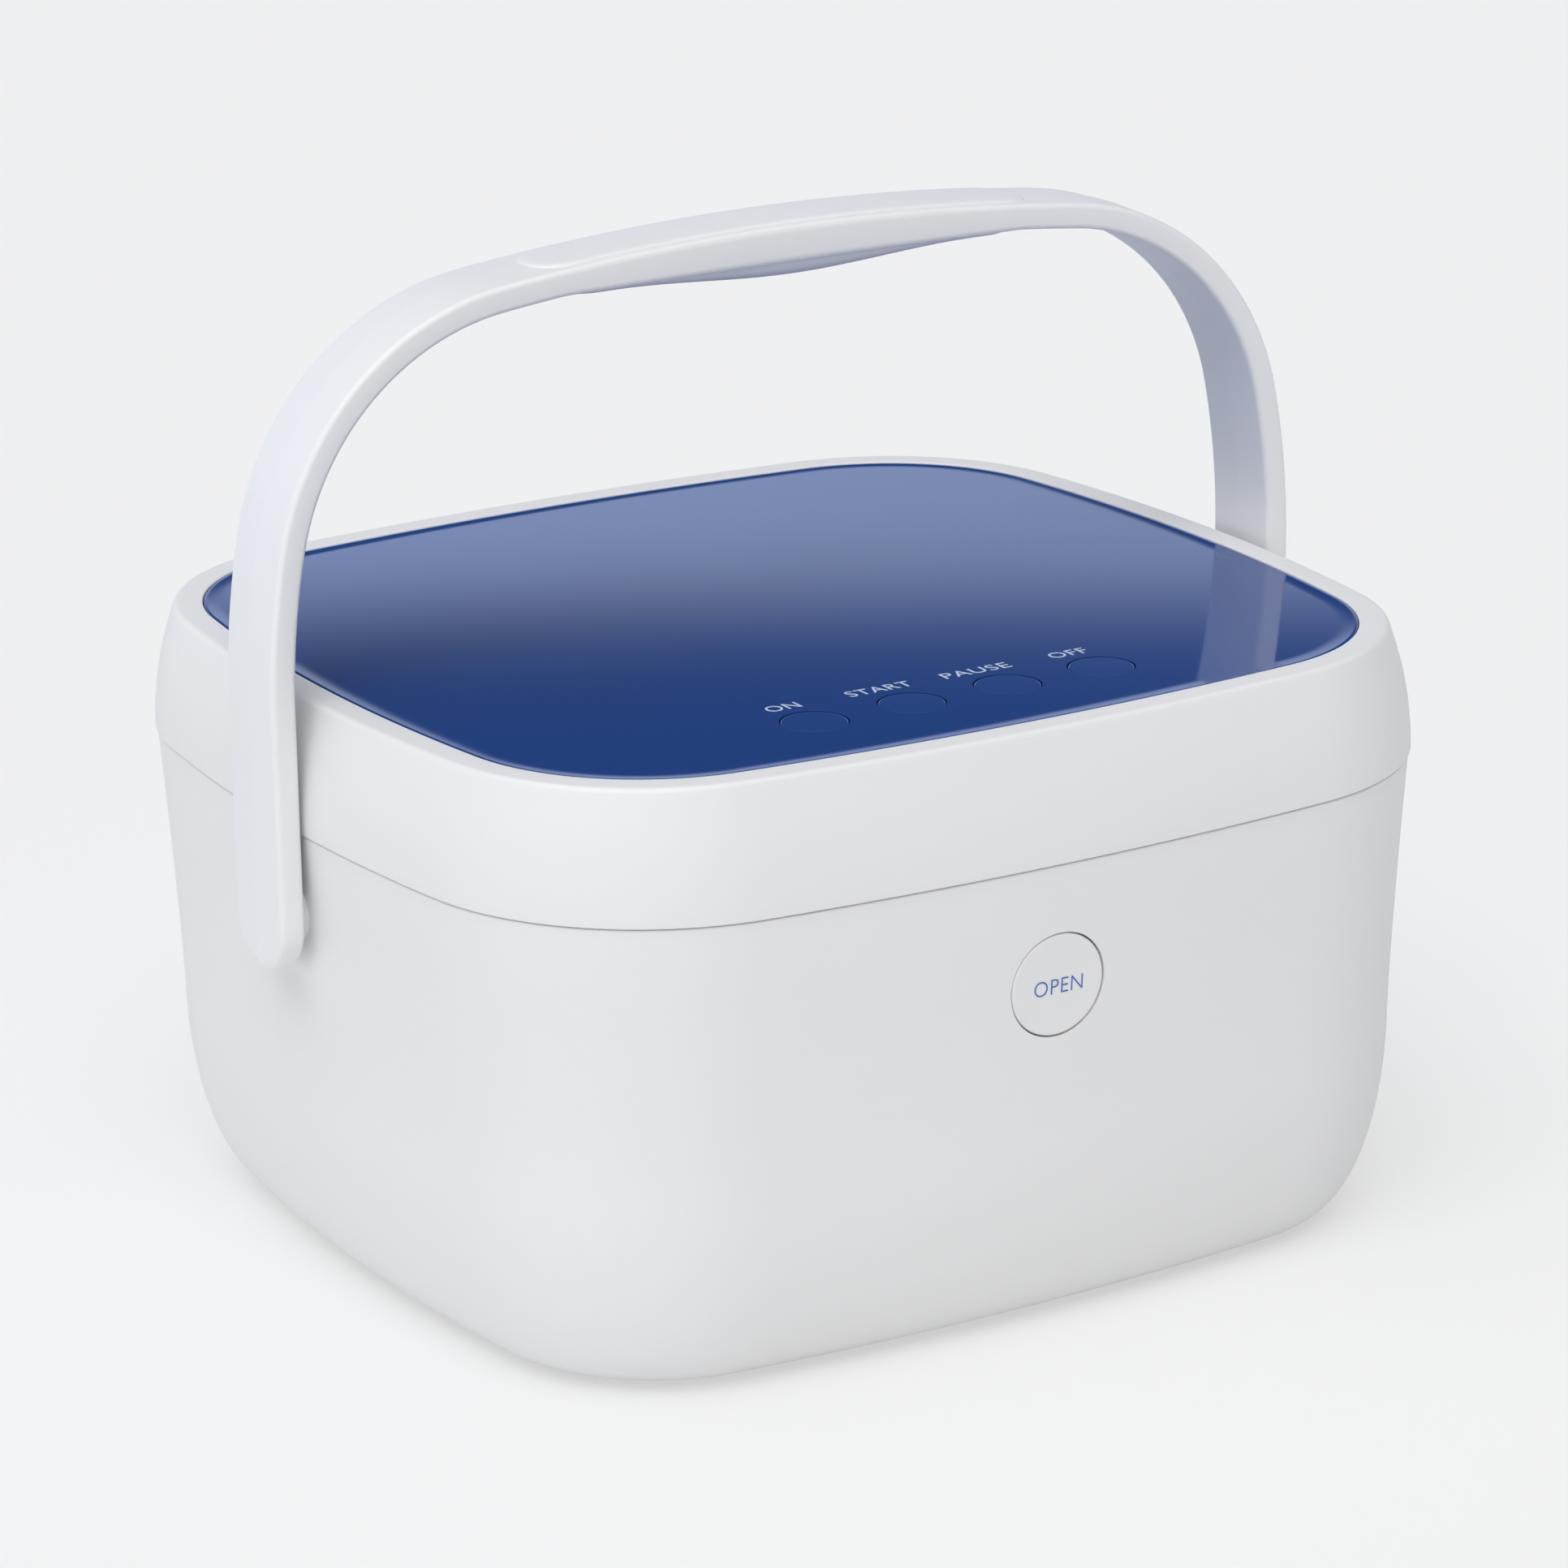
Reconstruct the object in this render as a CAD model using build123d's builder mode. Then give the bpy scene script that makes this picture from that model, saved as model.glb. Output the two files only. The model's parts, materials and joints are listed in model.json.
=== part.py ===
from build123d import *
import math
import os

# A bench-top sanitizing box for masks and tubes: a lower housing with a reflective tub,
# a hinged lid with four push buttons, and a swinging carry handle.
# Millimetres. Z is up, the front is at -Y, and the origin is on the table under the middle.

# Outline of the top panel, which every shell follows at its own growth
panel_half_width = 135.8
panel_half_depth = 125.2
end_bow_radius = 792.0
side_bow_radius = 553.0
corner_radius = 54.0

# Heights of the housing and the lid
foot_height = 2.2
housing_height = 128.2
seam_gap = 0.6
lid_height = 34.0
bottom_curve_height = 55.8

# How far the walls stand out from the panel's outline
housing_top_growth = 13.0
housing_waist_growth = 9.4
housing_bottom_growth = -10.2
lid_bottom_growth = 14.2
lid_wall_radius = 90.0
rim_round = 1.6
wall = 2.5

# Inner tub, its ledge and the gasket
tub_wall = 1.8
tub_mouth_inset = 9.0
tub_floor_inset = 15.0
tub_depth = 94.4
tub_round = 10.0
flange_drop = 2.0
flange_thickness = 2.0
flange_play = 0.3
ledge_width = 5.0
ledge_height = 4.0
gasket_inner_growth = -7.0
gasket_width = 4.0
gasket_play = 0.3

# Lid liner and panel
liner_lift = 0.3
liner_thickness = 1.8
liner_flange_thickness = 2.0
liner_depth = 18.7
liner_roof_inset = 13.0
liner_play = 0.8
panel_thickness = 2.4
panel_drop = 0.4
panel_play = 0.2
panel_bevel = 0.8
panel_ledge_width = 6.0
panel_ledge_thickness = 2.2

# Push buttons in the panel
button_diameter = 17.3
button_play = 0.35
button_drop = 0.7
button_pitch = 29.0
button_row_x = -1.8
button_row_inset = 31.0
button_flange_rim = 1.6
button_flange_thickness = 1.0
button_flange_play = 0.25
button_stem_diameter = 5.0
button_stem_length = 3.2
button_edge_round = 0.5
switch_play = 0.2
switch_side = 6.0
switch_body_height = 2.4
switch_well_depth = 1.9
switch_tip_depth = 0.6
plunger_diameter = 3.4

# Circuit boards, lamps and windows
board_thickness = 1.6
standoff_diameter = 5.0
standoff_height = 2.0
lamp_side = 3.5
lamp_height = 1.4
lamp_pitch_x = 56.0
lamp_pitch_y = 60.0
window_diameter = 16.0
window_thickness = 1.2
window_play = 0.1
window_hole_diameter = 12.0
lamp_board_length = 146.0
lamp_board_width = 84.0
button_board_length = 112.0
button_board_width = 22.0
button_board_lift = 1.0
lamp_screw_length = 4.2
button_screw_length = 3.2
control_post_height = 7.3
board_post_inset = 5.0
button_post_inset = 5.0
standoff_seat = 0.5
standoff_bore = 0.8
control_board_length = 130.0
control_board_width = 84.0

# OPEN button, its guide and the latch
open_diameter = 27.6
open_play = 0.4
striker_clearance = 2.6
open_flange_rim = 1.8
open_flange_thickness = 1.2
open_flange_inset = 3.8
stem_diameter = 8.0
stem_play = 0.15
guide_width = 50.0
guide_half_height = 11.0
guide_thickness = 1.6
spring_room = 4.6
spring_wire = 0.6
spring_diameter = 12.0
spring_turns = 2.5
hook_width = 14.0
hook_thickness = 1.8
hook_gap = 1.2
hook_foot = 6.0
nose_height = 2.2
latch_play = 0.3
striker_width = 16.0
striker_thickness = 2.0
striker_lip = 2.0
striker_drop = 15.0
striker_wall_play = 1.9
striker_tab = 1.8
striker_tab_length = 9.1
striker_screw_x = 5.0
striker_screw_inset = 6.2
slot_play = 2.0
guide_screw_x = 20.6
guide_column_radius = 3.5

# Hinge at the back
hinge_barrel_radius = 3.8
hinge_pin_radius = 1.5
pin_play = 0.05
hinge_half_span = 48.0
lid_knuckle_half = 18.0
knuckle_play = 0.4
hinge_bay_play = 1.0
hinge_rise = 4.2
hinge_arm_thickness = 2.6
hinge_arm_drop = 20.0
hinge_screw_x = (-40.0, -26.0, 26.0, 40.0)
hinge_screw_drop = 16.6
leaf_thickness = 2.0
leaf_length = 16.8
leaf_screw_x = 11.0
leaf_screw_inset = 11.0
bridge_play = 0.4

# Carry handle
handle_play = 0.5
handle_thickness = 7.9
handle_width = 26.3
handle_y = -3.0
handle_round = 2.2
handle_straight = 54.7
handle_side_length = 26.8
handle_rise = 109.4
crown_radius = 741.0
shoulder_radius = 76.2
handle_side_radius = 216.0
pivot_drop = 22.5
pivot_radius = 4.0
pivot_play = 0.08
boss_diameter = 23.0
boss_play = 0.3
bush_spigot_diameter = 13.6
bush_spigot_play = 0.2
bush_inner_length = 2.0
stud_head_diameter = 10.0
stud_head_depth = 4.0
washer_diameter = 16.0
washer_thickness = 1.2
washer_play = 0.3
stud_tail = 0.5
grip_half_length = 71.0
grip_half_width = 11.5
grip_depth = 6.7
grip_edge_depth = 0.9
grip_swell_half = 45.0
grip_round = 3.0
cap_half_length = 76.0
cap_half_width = 10.2
cap_thickness = 0.8

# Base cover, feet, screws and inlet
cover_half_length = 82.0
cover_half_width = 72.0
cover_thickness = 2.5
cover_play = 0.3
cover_corner = 12.0
cover_ledge = 6.0
foot_diameter = 16.0
foot_spacing_x = 176.0
foot_spacing_y = 160.0
screw_diameter = 3.0
screw_head_diameter = 5.6
screw_head_height = 1.7
screw_length = 8.0
screw_play = 0.2
board_screw_diameter = 2.5
board_head_diameter = 4.4
board_head_height = 1.4
tub_screw_growth = 7.0
tub_screw_x = 70.0
tub_screw_y = 60.0
lid_screw_growth = 4.0
lid_screw_x = 84.0
lid_screw_y = 38.0
cover_screw_inset = 8.0
cover_screw_length = 6.6
cover_head_room = 1.9
cover_head_radius = 3.1
boss_column_diameter = 7.0
tub_column_drop = 4.0
cover_column_height = 8.0
screw_bore_depth = 6.0
inlet_x = 78.0
inlet_height = 32.0
inlet_diameter = 11.0
inlet_play = 0.15
inlet_length = 14.0
inlet_flange_diameter = 15.0
inlet_flange_thickness = 1.2
inlet_bore_diameter = 6.4
inlet_pin_diameter = 2.1
inlet_bore_depth = 9.5
inlet_seat_depth = 1.6
inlet_boss_radius = 10.0
inlet_boss_depth = 5.0

# Electronics on the control board
processor_side = 14.0
processor_height = 1.4
capacitor_xs = (-50.0, -38.0, -26.0)
capacitor_y = 24.0
capacitor_radius = 4.0
capacitor_height = 11.0
coil_place = (-40.0, -14.0)
coil_radius = 7.0
coil_height = 7.0
buzzer_place = (40.0, -14.0)
buzzer_radius = 6.0
buzzer_height = 8.0
buzzer_hole_radius = 1.2
connector_xs = (26.0, 46.0)
connector_y = 31.0
connector_length = 14.0
connector_width = 6.0
connector_height = 7.0
connector_wall = 1.0

# Lid sensor and magnet
sensor_x = 40.0
sensor_inset = 2.7
sensor_length = 14.0
sensor_width = 6.0
sensor_height = 4.0
magnet_radius = 3.0
magnet_height = 2.5

# Wire rack on the tub floor
rack_inset = 24.0
rack_rod_diameter = 4.0
rack_wire_diameter = 2.6
rack_clearance = 8.0
rack_side_margin = 15.8
rack_leg_y = 50.0
rack_wire_count = 9

# Heights and reaches that follow from the sizes above
housing_top = foot_height + housing_height
seam_top = housing_top + seam_gap
rim_height = seam_top + lid_height
waist_height = foot_height + bottom_curve_height
handle_half_width = panel_half_width + lid_bottom_growth + handle_play + handle_thickness
pivot_height = seam_top - pivot_drop
handle_turn_height = pivot_height + handle_straight
handle_side_top = handle_turn_height + handle_side_length
handle_top = handle_turn_height + handle_rise
button_row_y = button_row_inset - panel_half_depth
sensor_y = sensor_inset - panel_half_depth
flange_top = housing_top - flange_drop
flange_bottom = flange_top - flange_thickness
tub_floor_bottom = flange_bottom - tub_depth
tub_floor_top = tub_floor_bottom + tub_wall
liner_bottom = seam_top + liner_lift
gasket_top = liner_bottom - gasket_play
liner_roof_bottom = liner_bottom + liner_depth
liner_roof_top = liner_roof_bottom + liner_thickness
panel_top = rim_height - panel_drop
panel_bottom = panel_top - panel_thickness
panel_ledge_bottom = panel_bottom - panel_ledge_thickness
button_top = panel_top - button_drop
liner_growth = lid_bottom_growth - wall - liner_play
cover_top = foot_height + cover_thickness
control_board_bottom = cover_top + control_post_height
control_board_top = control_board_bottom + board_thickness
lamp_board_top = tub_floor_bottom - standoff_height
lid_board_bottom = liner_roof_top + standoff_height
button_board_bottom = liner_roof_top + button_board_lift
button_board_top = button_board_bottom + board_thickness
rack_z = tub_floor_top + rack_clearance + rack_rod_diameter / 2
liner_flange_top = liner_bottom + liner_flange_thickness

# Radii of the bores that screws bite into and of the holes that they pass through
screw_bore = screw_diameter / 2
screw_hole = screw_diameter / 2 + screw_play
board_bore = board_screw_diameter / 2
board_hole = board_screw_diameter / 2 + screw_play


def mirrored(x, y):
    """Four places mirrored both ways."""
    return [(i * x, j * y) for i in (-1, 1) for j in (-1, 1)]


# Rows of places
button_places = [button_row_x + button_pitch * share for share in (-1.5, -0.5, 0.5, 1.5)]
button_post_half = button_board_length / 2 - button_post_inset
button_board_posts = [button_row_x - button_post_half, button_row_x + button_post_half]
lamp_places = [(i * lamp_pitch_x, j * lamp_pitch_y / 2) for i in (-1, 0, 1) for j in (-1, 1)]
lamp_board_posts = mirrored(
    lamp_board_length / 2 - board_post_inset, lamp_board_width / 2 - board_post_inset
)
control_post_places = mirrored(
    control_board_length / 2 - board_post_inset, control_board_width / 2 - board_post_inset
)
rack_wire_span = 2 * (panel_half_width - rack_inset - rack_side_margin)
rack_wire_pitch = rack_wire_span / (rack_wire_count - 1)
rack_leg_places = mirrored(rack_wire_span / 2, rack_leg_y)


def arc_join(side_centre, end_centre, side_radius, end_radius, join_radius):
    """Centre of the arc that touches a side bow and an end bow from inside."""
    to_side = side_radius - join_radius
    to_end = end_radius - join_radius
    apart = math.hypot(side_centre, end_centre)
    along = (to_side**2 - to_end**2 + apart**2) / (2 * apart)
    aside = math.sqrt(to_side**2 - along**2)
    step_x = -side_centre / apart
    step_y = end_centre / apart
    return (side_centre + step_x * along - step_y * aside, step_y * along + step_x * aside)


side_centre = panel_half_width - side_bow_radius
end_centre = panel_half_depth - end_bow_radius
corner_x, corner_y = arc_join(
    side_centre, end_centre, side_bow_radius, end_bow_radius, corner_radius
)
side_angle = math.degrees(math.atan2(corner_y, corner_x - side_centre))
end_angle = math.degrees(math.atan2(corner_y - end_centre, corner_x))


def outline(growth):
    """Face inside the panel's outline, grown all round by the given distance."""
    corner = corner_radius + growth
    side = side_bow_radius + growth
    end = end_bow_radius + growth
    turn = end_angle - side_angle
    with BuildSketch() as face:
        with BuildLine():
            CenterArc((side_centre, 0), side, -side_angle, 2 * side_angle)
            CenterArc((corner_x, corner_y), corner, side_angle, turn)
            CenterArc((0, end_centre), end, end_angle, 180 - 2 * end_angle)
            CenterArc((-corner_x, corner_y), corner, 180 - end_angle, turn)
            CenterArc((-side_centre, 0), side, 180 - side_angle, 2 * side_angle)
            CenterArc((-corner_x, -corner_y), corner, 180 + side_angle, turn)
            CenterArc((0, -end_centre), end, 180 + end_angle, 180 - 2 * end_angle)
            CenterArc((corner_x, -corner_y), corner, 360 - end_angle, turn)
        make_face()
    return face.sketch


def depth_at(x, growth):
    """Distance from the middle to the back outline at the given x."""
    x = abs(x)
    limit = (end_bow_radius + growth) * math.cos(math.radians(end_angle))
    if x < limit:
        return end_centre + math.sqrt((end_bow_radius + growth) ** 2 - x**2)
    return corner_y + math.sqrt((corner_radius + growth) ** 2 - (x - corner_x) ** 2)


def width_at(y, growth):
    """Distance from the middle to the side outline at the given y."""
    y = abs(y)
    limit = (side_bow_radius + growth) * math.sin(math.radians(side_angle))
    if y < limit:
        return side_centre + math.sqrt((side_bow_radius + growth) ** 2 - y**2)
    return corner_x + math.sqrt((corner_radius + growth) ** 2 - (y - corner_y) ** 2)


def housing_growth(z):
    """Growth of the housing's outer wall at a height above the waist."""
    share = (z - waist_height) / (housing_top - waist_height)
    return housing_waist_growth + share * (housing_top_growth - housing_waist_growth)


def lid_growth(z):
    """Growth of the lid's outer wall, an arc that stands upright at the seam."""
    rise = z - seam_top
    return lid_bottom_growth - lid_wall_radius + math.sqrt(lid_wall_radius**2 - rise**2)


def stack(levels, ruled=False):
    """Solid through outlines, given as (height, growth) from the bottom up."""
    with BuildPart() as solid:
        for height, growth in levels:
            with BuildSketch(Plane.XY.offset(height)):
                add(outline(growth))
        loft(ruled=ruled)
    return solid.part


def slab(bottom, top, growth):
    """Flat plate of the outline between two heights."""
    with BuildPart() as solid:
        with BuildSketch(Plane.XY.offset(bottom)):
            add(outline(growth))
        extrude(amount=top - bottom)
    return solid.part


def rod(start, end, radius):
    """Round bar between two points."""
    span = Vector(*end) - Vector(*start)
    with BuildPart() as solid:
        with BuildSketch(Plane(origin=start, z_dir=span)):
            Circle(radius)
        extrude(amount=span.length)
    return solid.part


def upright(x, y, bottom, top, radius):
    """Round bar along Z."""
    return rod((x, y, bottom), (x, y, top), radius)


def lengthwise(x, z, front, back, radius):
    """Round bar along Y."""
    return rod((x, front, z), (x, back, z), radius)


def crosswise(left, right, y, z, radius):
    """Round bar along X."""
    return rod((left, y, z), (right, y, z), radius)


def block(low, high):
    """Box between two opposite corners."""
    centre = [(a + b) / 2 for a, b in zip(low, high)]
    size = [b - a for a, b in zip(low, high)]
    with BuildPart() as solid:
        with Locations(tuple(centre)):
            Box(*size)
    return solid.part


def screw(seat, direction, length, radius, head_radius, head_height):
    """Screw whose head stands on the seat and whose shaft runs along the direction."""
    seat = Vector(*seat)
    along = Vector(*direction)
    head = rod(seat - along * head_height, seat, head_radius)
    return head + rod(seat, seat + along * length, radius)


def case_screw(seat, direction, length):
    """One of the larger screws that hold the shells and brackets."""
    return screw(
        seat, direction, length, screw_diameter / 2, screw_head_diameter / 2, screw_head_height
    )


def board_screw(seat, direction, length):
    """One of the small screws that hold the circuit boards."""
    return screw(
        seat, direction, length, board_screw_diameter / 2, board_head_diameter / 2, board_head_height
    )


def around(x, y, growth):
    """Eight places on a grown outline, mirrored both ways."""
    end = depth_at(x, growth)
    side = width_at(y, growth)
    quarter = [(x, end), (side, y)]
    return [(i * a, j * b) for a, b in quarter for i in (1, -1) for j in (1, -1)]


def wall_levels(inset, top):
    """Heights and growths of the housing's straight wall."""
    low = (waist_height, housing_waist_growth - inset)
    high = (top, housing_growth(top) - inset)
    return [low, high]


def bottom_growth(z):
    """Growth of the housing's rounded bottom at a height below the waist."""
    turn = math.asin((waist_height - z) / bottom_curve_height)
    reach = housing_waist_growth - housing_bottom_growth
    return housing_waist_growth - reach * (1 - math.cos(turn))


def bottom_levels(inset):
    """Heights and growths of the housing's rounded bottom, from below up to the waist."""
    levels = []
    for angle in (90, 65, 35, 0):
        turn = math.radians(angle)
        height = waist_height - (bottom_curve_height - inset) * math.sin(turn)
        reach = housing_waist_growth - housing_bottom_growth
        growth = housing_waist_growth - inset - reach * (1 - math.cos(turn))
        levels.append((height, growth))
    return levels


def lid_levels(inset, top):
    """Heights and growths of the lid's bulged wall."""
    heights = [seam_top + share * (top - seam_top) for share in (0, 0.35, 0.7, 1)]
    return [(height, lid_growth(height) - inset) for height in heights]


def tub_growth(z):
    """Growth of the tub's outer wall, which leans outwards to the mouth."""
    share = (z - tub_floor_bottom) / (flange_bottom - tub_floor_bottom)
    low = tub_wall - tub_floor_inset
    high = tub_wall - tub_mouth_inset
    return low + share * (high - low)


def tub_solid(inset, top):
    """The tub's outside, or its inside with the wall as inset, up to the given height."""
    round_top = tub_floor_bottom + tub_round
    radius = tub_round - inset
    lower = []
    for angle in (90, 45, 0):
        turn = math.radians(angle)
        growth = tub_growth(round_top) - inset - radius * (1 - math.cos(turn))
        lower.append((round_top - radius * math.sin(turn), growth))
    upper = [(round_top, tub_growth(round_top) - inset), (top, tub_growth(top) - inset)]
    return stack(lower) + stack(upper, ruled=True)


def arch(inset, bottom, depth):
    """Solid under the handle's outer line, moved in by the inset."""
    half = handle_half_width - inset
    side = handle_side_radius - inset
    shoulder = shoulder_radius - inset
    crown = crown_radius - inset
    bend = crown_turn - side_turn
    with BuildPart() as solid:
        with BuildSketch(Plane.XZ.offset(-handle_y)):
            with BuildLine():
                Line((half, bottom), (half, handle_turn_height))
                CenterArc((bow_side_x, handle_turn_height), side, 0, side_turn)
                CenterArc((shoulder_x, shoulder_z), shoulder, side_turn, bend)
                CenterArc((0, bow_crown_z), crown, crown_turn, 180 - 2 * crown_turn)
                CenterArc((-shoulder_x, shoulder_z), shoulder, 180 - crown_turn, bend)
                CenterArc((-bow_side_x, handle_turn_height), side, 180 - side_turn, side_turn)
                Line((-half, handle_turn_height), (-half, bottom))
                Line((-half, bottom), (half, bottom))
            make_face()
        extrude(amount=depth / 2, both=True)
    return solid.part


# Bare solids that other pieces are cut from or trimmed with
housing_outside = stack(bottom_levels(0)) + stack(wall_levels(0, housing_top), ruled=True)
housing_inside = stack(bottom_levels(wall)) + stack(wall_levels(wall, housing_top), ruled=True)

# Screw places
tub_screw_places = around(tub_screw_x, tub_screw_y, tub_screw_growth)
lid_screw_places = around(lid_screw_x, lid_screw_y, lid_screw_growth)
cover_screw_x = cover_half_length - cover_screw_inset
cover_screw_y = cover_half_width - cover_screw_inset
cover_screw_places = mirrored(cover_screw_x, cover_screw_y)
ledge_bottom = flange_bottom - ledge_height
ledge_growth = housing_growth(flange_bottom) - wall - ledge_width
flange_growth = housing_growth(flange_bottom) - wall - flange_play

# Places along the latch, from the front wall inwards
striker_bottom = liner_bottom - striker_drop
open_height = striker_bottom - striker_clearance - open_flange_rim - open_diameter / 2
front_wall = -panel_half_depth - housing_growth(open_height)
open_flange_front = front_wall + open_flange_inset
open_flange_back = open_flange_front + open_flange_thickness
guide_front = open_flange_back + spring_room
guide_back = guide_front + guide_thickness
hook_front = guide_back + hook_gap
hook_back = hook_front + hook_thickness
striker_front = -panel_half_depth - housing_growth(flange_bottom) + wall + striker_wall_play
striker_back = striker_front + striker_thickness
lip_back = striker_back + striker_lip
striker_tab_back = striker_front + striker_tab_length
striker_screw_y = striker_front + striker_screw_inset
lip_top = striker_bottom + striker_lip
nose_front = lip_back + latch_play
nose_bottom = lip_top + latch_play
nose_top = nose_bottom + nose_height

# Places around the hinge
hinge_y = panel_half_depth + lid_bottom_growth - hinge_barrel_radius
hinge_z = housing_top + hinge_rise
hinge_bay = hinge_half_span + hinge_bay_play
hinge_screw_z = hinge_z - hinge_screw_drop
leaf_screw_y = hinge_y - leaf_screw_inset
arm_bottom = hinge_z - hinge_arm_drop
arm_back = depth_at(hinge_half_span, housing_growth(arm_bottom) - wall) - 0.1
arm_front = arm_back - hinge_arm_thickness
bay_front = arm_front - hinge_bay_play
bridge_top = ledge_bottom - bridge_play

# Places along the handle's pivots
pivot_growth = housing_growth(pivot_height)
pivot_wall = width_at(handle_y, pivot_growth)
strap_inner = handle_half_width - handle_thickness
boss_outer = strap_inner - boss_play
bush_inner = pivot_wall - wall - bush_inner_length
washer_outer = bush_inner - washer_play
washer_inner = washer_outer - washer_thickness
stud_inner = washer_inner - stud_tail

# The handle's arcs, drawn in the upright plane through its middle
bow_side_x = handle_half_width - handle_side_radius
shoulder_x, shoulder_rise = arc_join(
    bow_side_x, handle_rise - crown_radius, handle_side_radius, crown_radius, shoulder_radius
)
shoulder_z = handle_turn_height + shoulder_rise
bow_crown_z = handle_turn_height + handle_rise - crown_radius
side_turn = math.degrees(math.atan2(shoulder_rise, shoulder_x - bow_side_x))
crown_turn = math.degrees(math.atan2(shoulder_z - bow_crown_z, shoulder_x))

# The inlet's seat in the back wall
inlet_y = depth_at(inlet_x, bottom_growth(inlet_height)) - inlet_seat_depth
inlet_front = inlet_y + inlet_flange_thickness

os.makedirs("parts", exist_ok=True)

# Lower housing: tapered wall, rounded bottom, ledge for the tub, bosses and openings
with BuildPart() as housing_shell:
    add(housing_outside)
    add(housing_inside, mode=Mode.SUBTRACT)
    ledge = slab(ledge_bottom, flange_bottom, flange_growth + 1)
    add(ledge - slab(ledge_bottom, flange_bottom, ledge_growth))
    for x, y in tub_screw_places:
        add(upright(x, y, ledge_bottom - tub_column_drop, flange_bottom, boss_column_diameter / 2))
    # ring above the base cover
    outer_x = cover_half_length + cover_ledge
    outer_y = cover_half_width + cover_ledge
    inner_x = cover_half_length - cover_ledge
    inner_y = cover_half_width - cover_ledge
    ring_top = cover_top + cover_thickness
    add(block((-outer_x, -outer_y, cover_top - 0.5), (outer_x, outer_y, ring_top)))
    # boss for the inlet, pads for the hinge bracket and columns for the button guide
    inlet_boss = lengthwise(
        inlet_x, inlet_height, inlet_y - inlet_boss_depth, inlet_y + inlet_boss_radius, inlet_boss_radius
    )
    add(inlet_boss & housing_outside)
    pad_low = (-hinge_half_span, arm_back, arm_bottom + 1)
    pad_high = (hinge_half_span, hinge_y + 1, bridge_top)
    add(block(pad_low, pad_high) & housing_outside)
    for x in (guide_screw_x, -guide_screw_x):
        column = lengthwise(x, open_height, guide_front, front_wall, guide_column_radius)
        add(column & housing_outside)
    # openings
    with BuildSketch(Plane.XY.offset(foot_height)):
        RectangleRounded(
            2 * (cover_half_length + cover_play), 2 * (cover_half_width + cover_play), cover_corner
        )
    extrude(amount=cover_thickness, mode=Mode.SUBTRACT)
    with BuildSketch(Plane.XY.offset(cover_top)):
        RectangleRounded(2 * inner_x, 2 * inner_y, cover_corner)
    extrude(amount=cover_thickness, mode=Mode.SUBTRACT)
    for x, y in cover_screw_places:
        add(upright(x, y, cover_top, cover_top + cover_column_height, boss_column_diameter / 2))
    for x, y in cover_screw_places:
        add(upright(x, y, cover_top, cover_top + screw_bore_depth, screw_bore), mode=Mode.SUBTRACT)
    for x, y in tub_screw_places:
        bore = upright(x, y, flange_bottom - screw_bore_depth, flange_bottom, screw_bore)
        add(bore, mode=Mode.SUBTRACT)
    for x in (guide_screw_x, -guide_screw_x):
        bore = lengthwise(x, open_height, guide_front - 5, guide_front, screw_bore)
        add(bore, mode=Mode.SUBTRACT)
    open_hole_radius = open_diameter / 2 + open_play
    button_hole = lengthwise(0, open_height, open_flange_front - 0.5, front_wall - 5, open_hole_radius)
    add(button_hole, mode=Mode.SUBTRACT)
    slot_half = striker_width / 2 + slot_play
    slot_low = (-slot_half, striker_front - 1, ledge_bottom - 1)
    slot_high = (slot_half, lip_back + 3, flange_bottom + 1)
    add(block(slot_low, slot_high), mode=Mode.SUBTRACT)
    arm_slot_low = (-hinge_bay, bay_front, ledge_bottom - 1)
    arm_slot_high = (hinge_bay, arm_back + 0.2, flange_bottom + 1)
    add(block(arm_slot_low, arm_slot_high), mode=Mode.SUBTRACT)
    for x in hinge_screw_x:
        bore = lengthwise(x, hinge_screw_z, arm_back, arm_back + 3, screw_bore)
        add(bore, mode=Mode.SUBTRACT)
    bush_hole_radius = bush_spigot_diameter / 2 + bush_spigot_play
    for side in (1, -1):
        inner = side * (pivot_wall - 6)
        outer = side * (pivot_wall + 3)
        add(crosswise(inner, outer, handle_y, pivot_height, bush_hole_radius), mode=Mode.SUBTRACT)
    spot_radius = inlet_flange_diameter / 2 + inlet_play
    add(lengthwise(inlet_x, inlet_height, inlet_y, inlet_y + 10, spot_radius), mode=Mode.SUBTRACT)
    inlet_hole_radius = inlet_diameter / 2 + inlet_play
    inlet_hole = lengthwise(inlet_x, inlet_height, inlet_y - 8, inlet_y + 1, inlet_hole_radius)
    add(inlet_hole, mode=Mode.SUBTRACT)
housing_shell.part.label = "housing_shell"
export_step(housing_shell.part, "parts/housing_shell.step")

# Base cover with posts for the control board
with BuildPart() as base_cover:
    with BuildSketch(Plane.XY.offset(foot_height)):
        RectangleRounded(2 * cover_half_length, 2 * cover_half_width, cover_corner)
    extrude(amount=cover_thickness)
    for x, y in control_post_places:
        add(upright(x, y, cover_top, control_board_bottom, standoff_diameter / 2))
        bore = upright(x, y, control_board_bottom - 4, control_board_bottom, board_bore)
        add(bore, mode=Mode.SUBTRACT)
    head_seat = foot_height + cover_head_room
    for x, y in cover_screw_places:
        add(upright(x, y, foot_height, head_seat, cover_head_radius), mode=Mode.SUBTRACT)
        add(upright(x, y, foot_height, cover_top, screw_hole), mode=Mode.SUBTRACT)
base_cover.part.label = "base_cover"
export_step(base_cover.part, "parts/base_cover.step")

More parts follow.
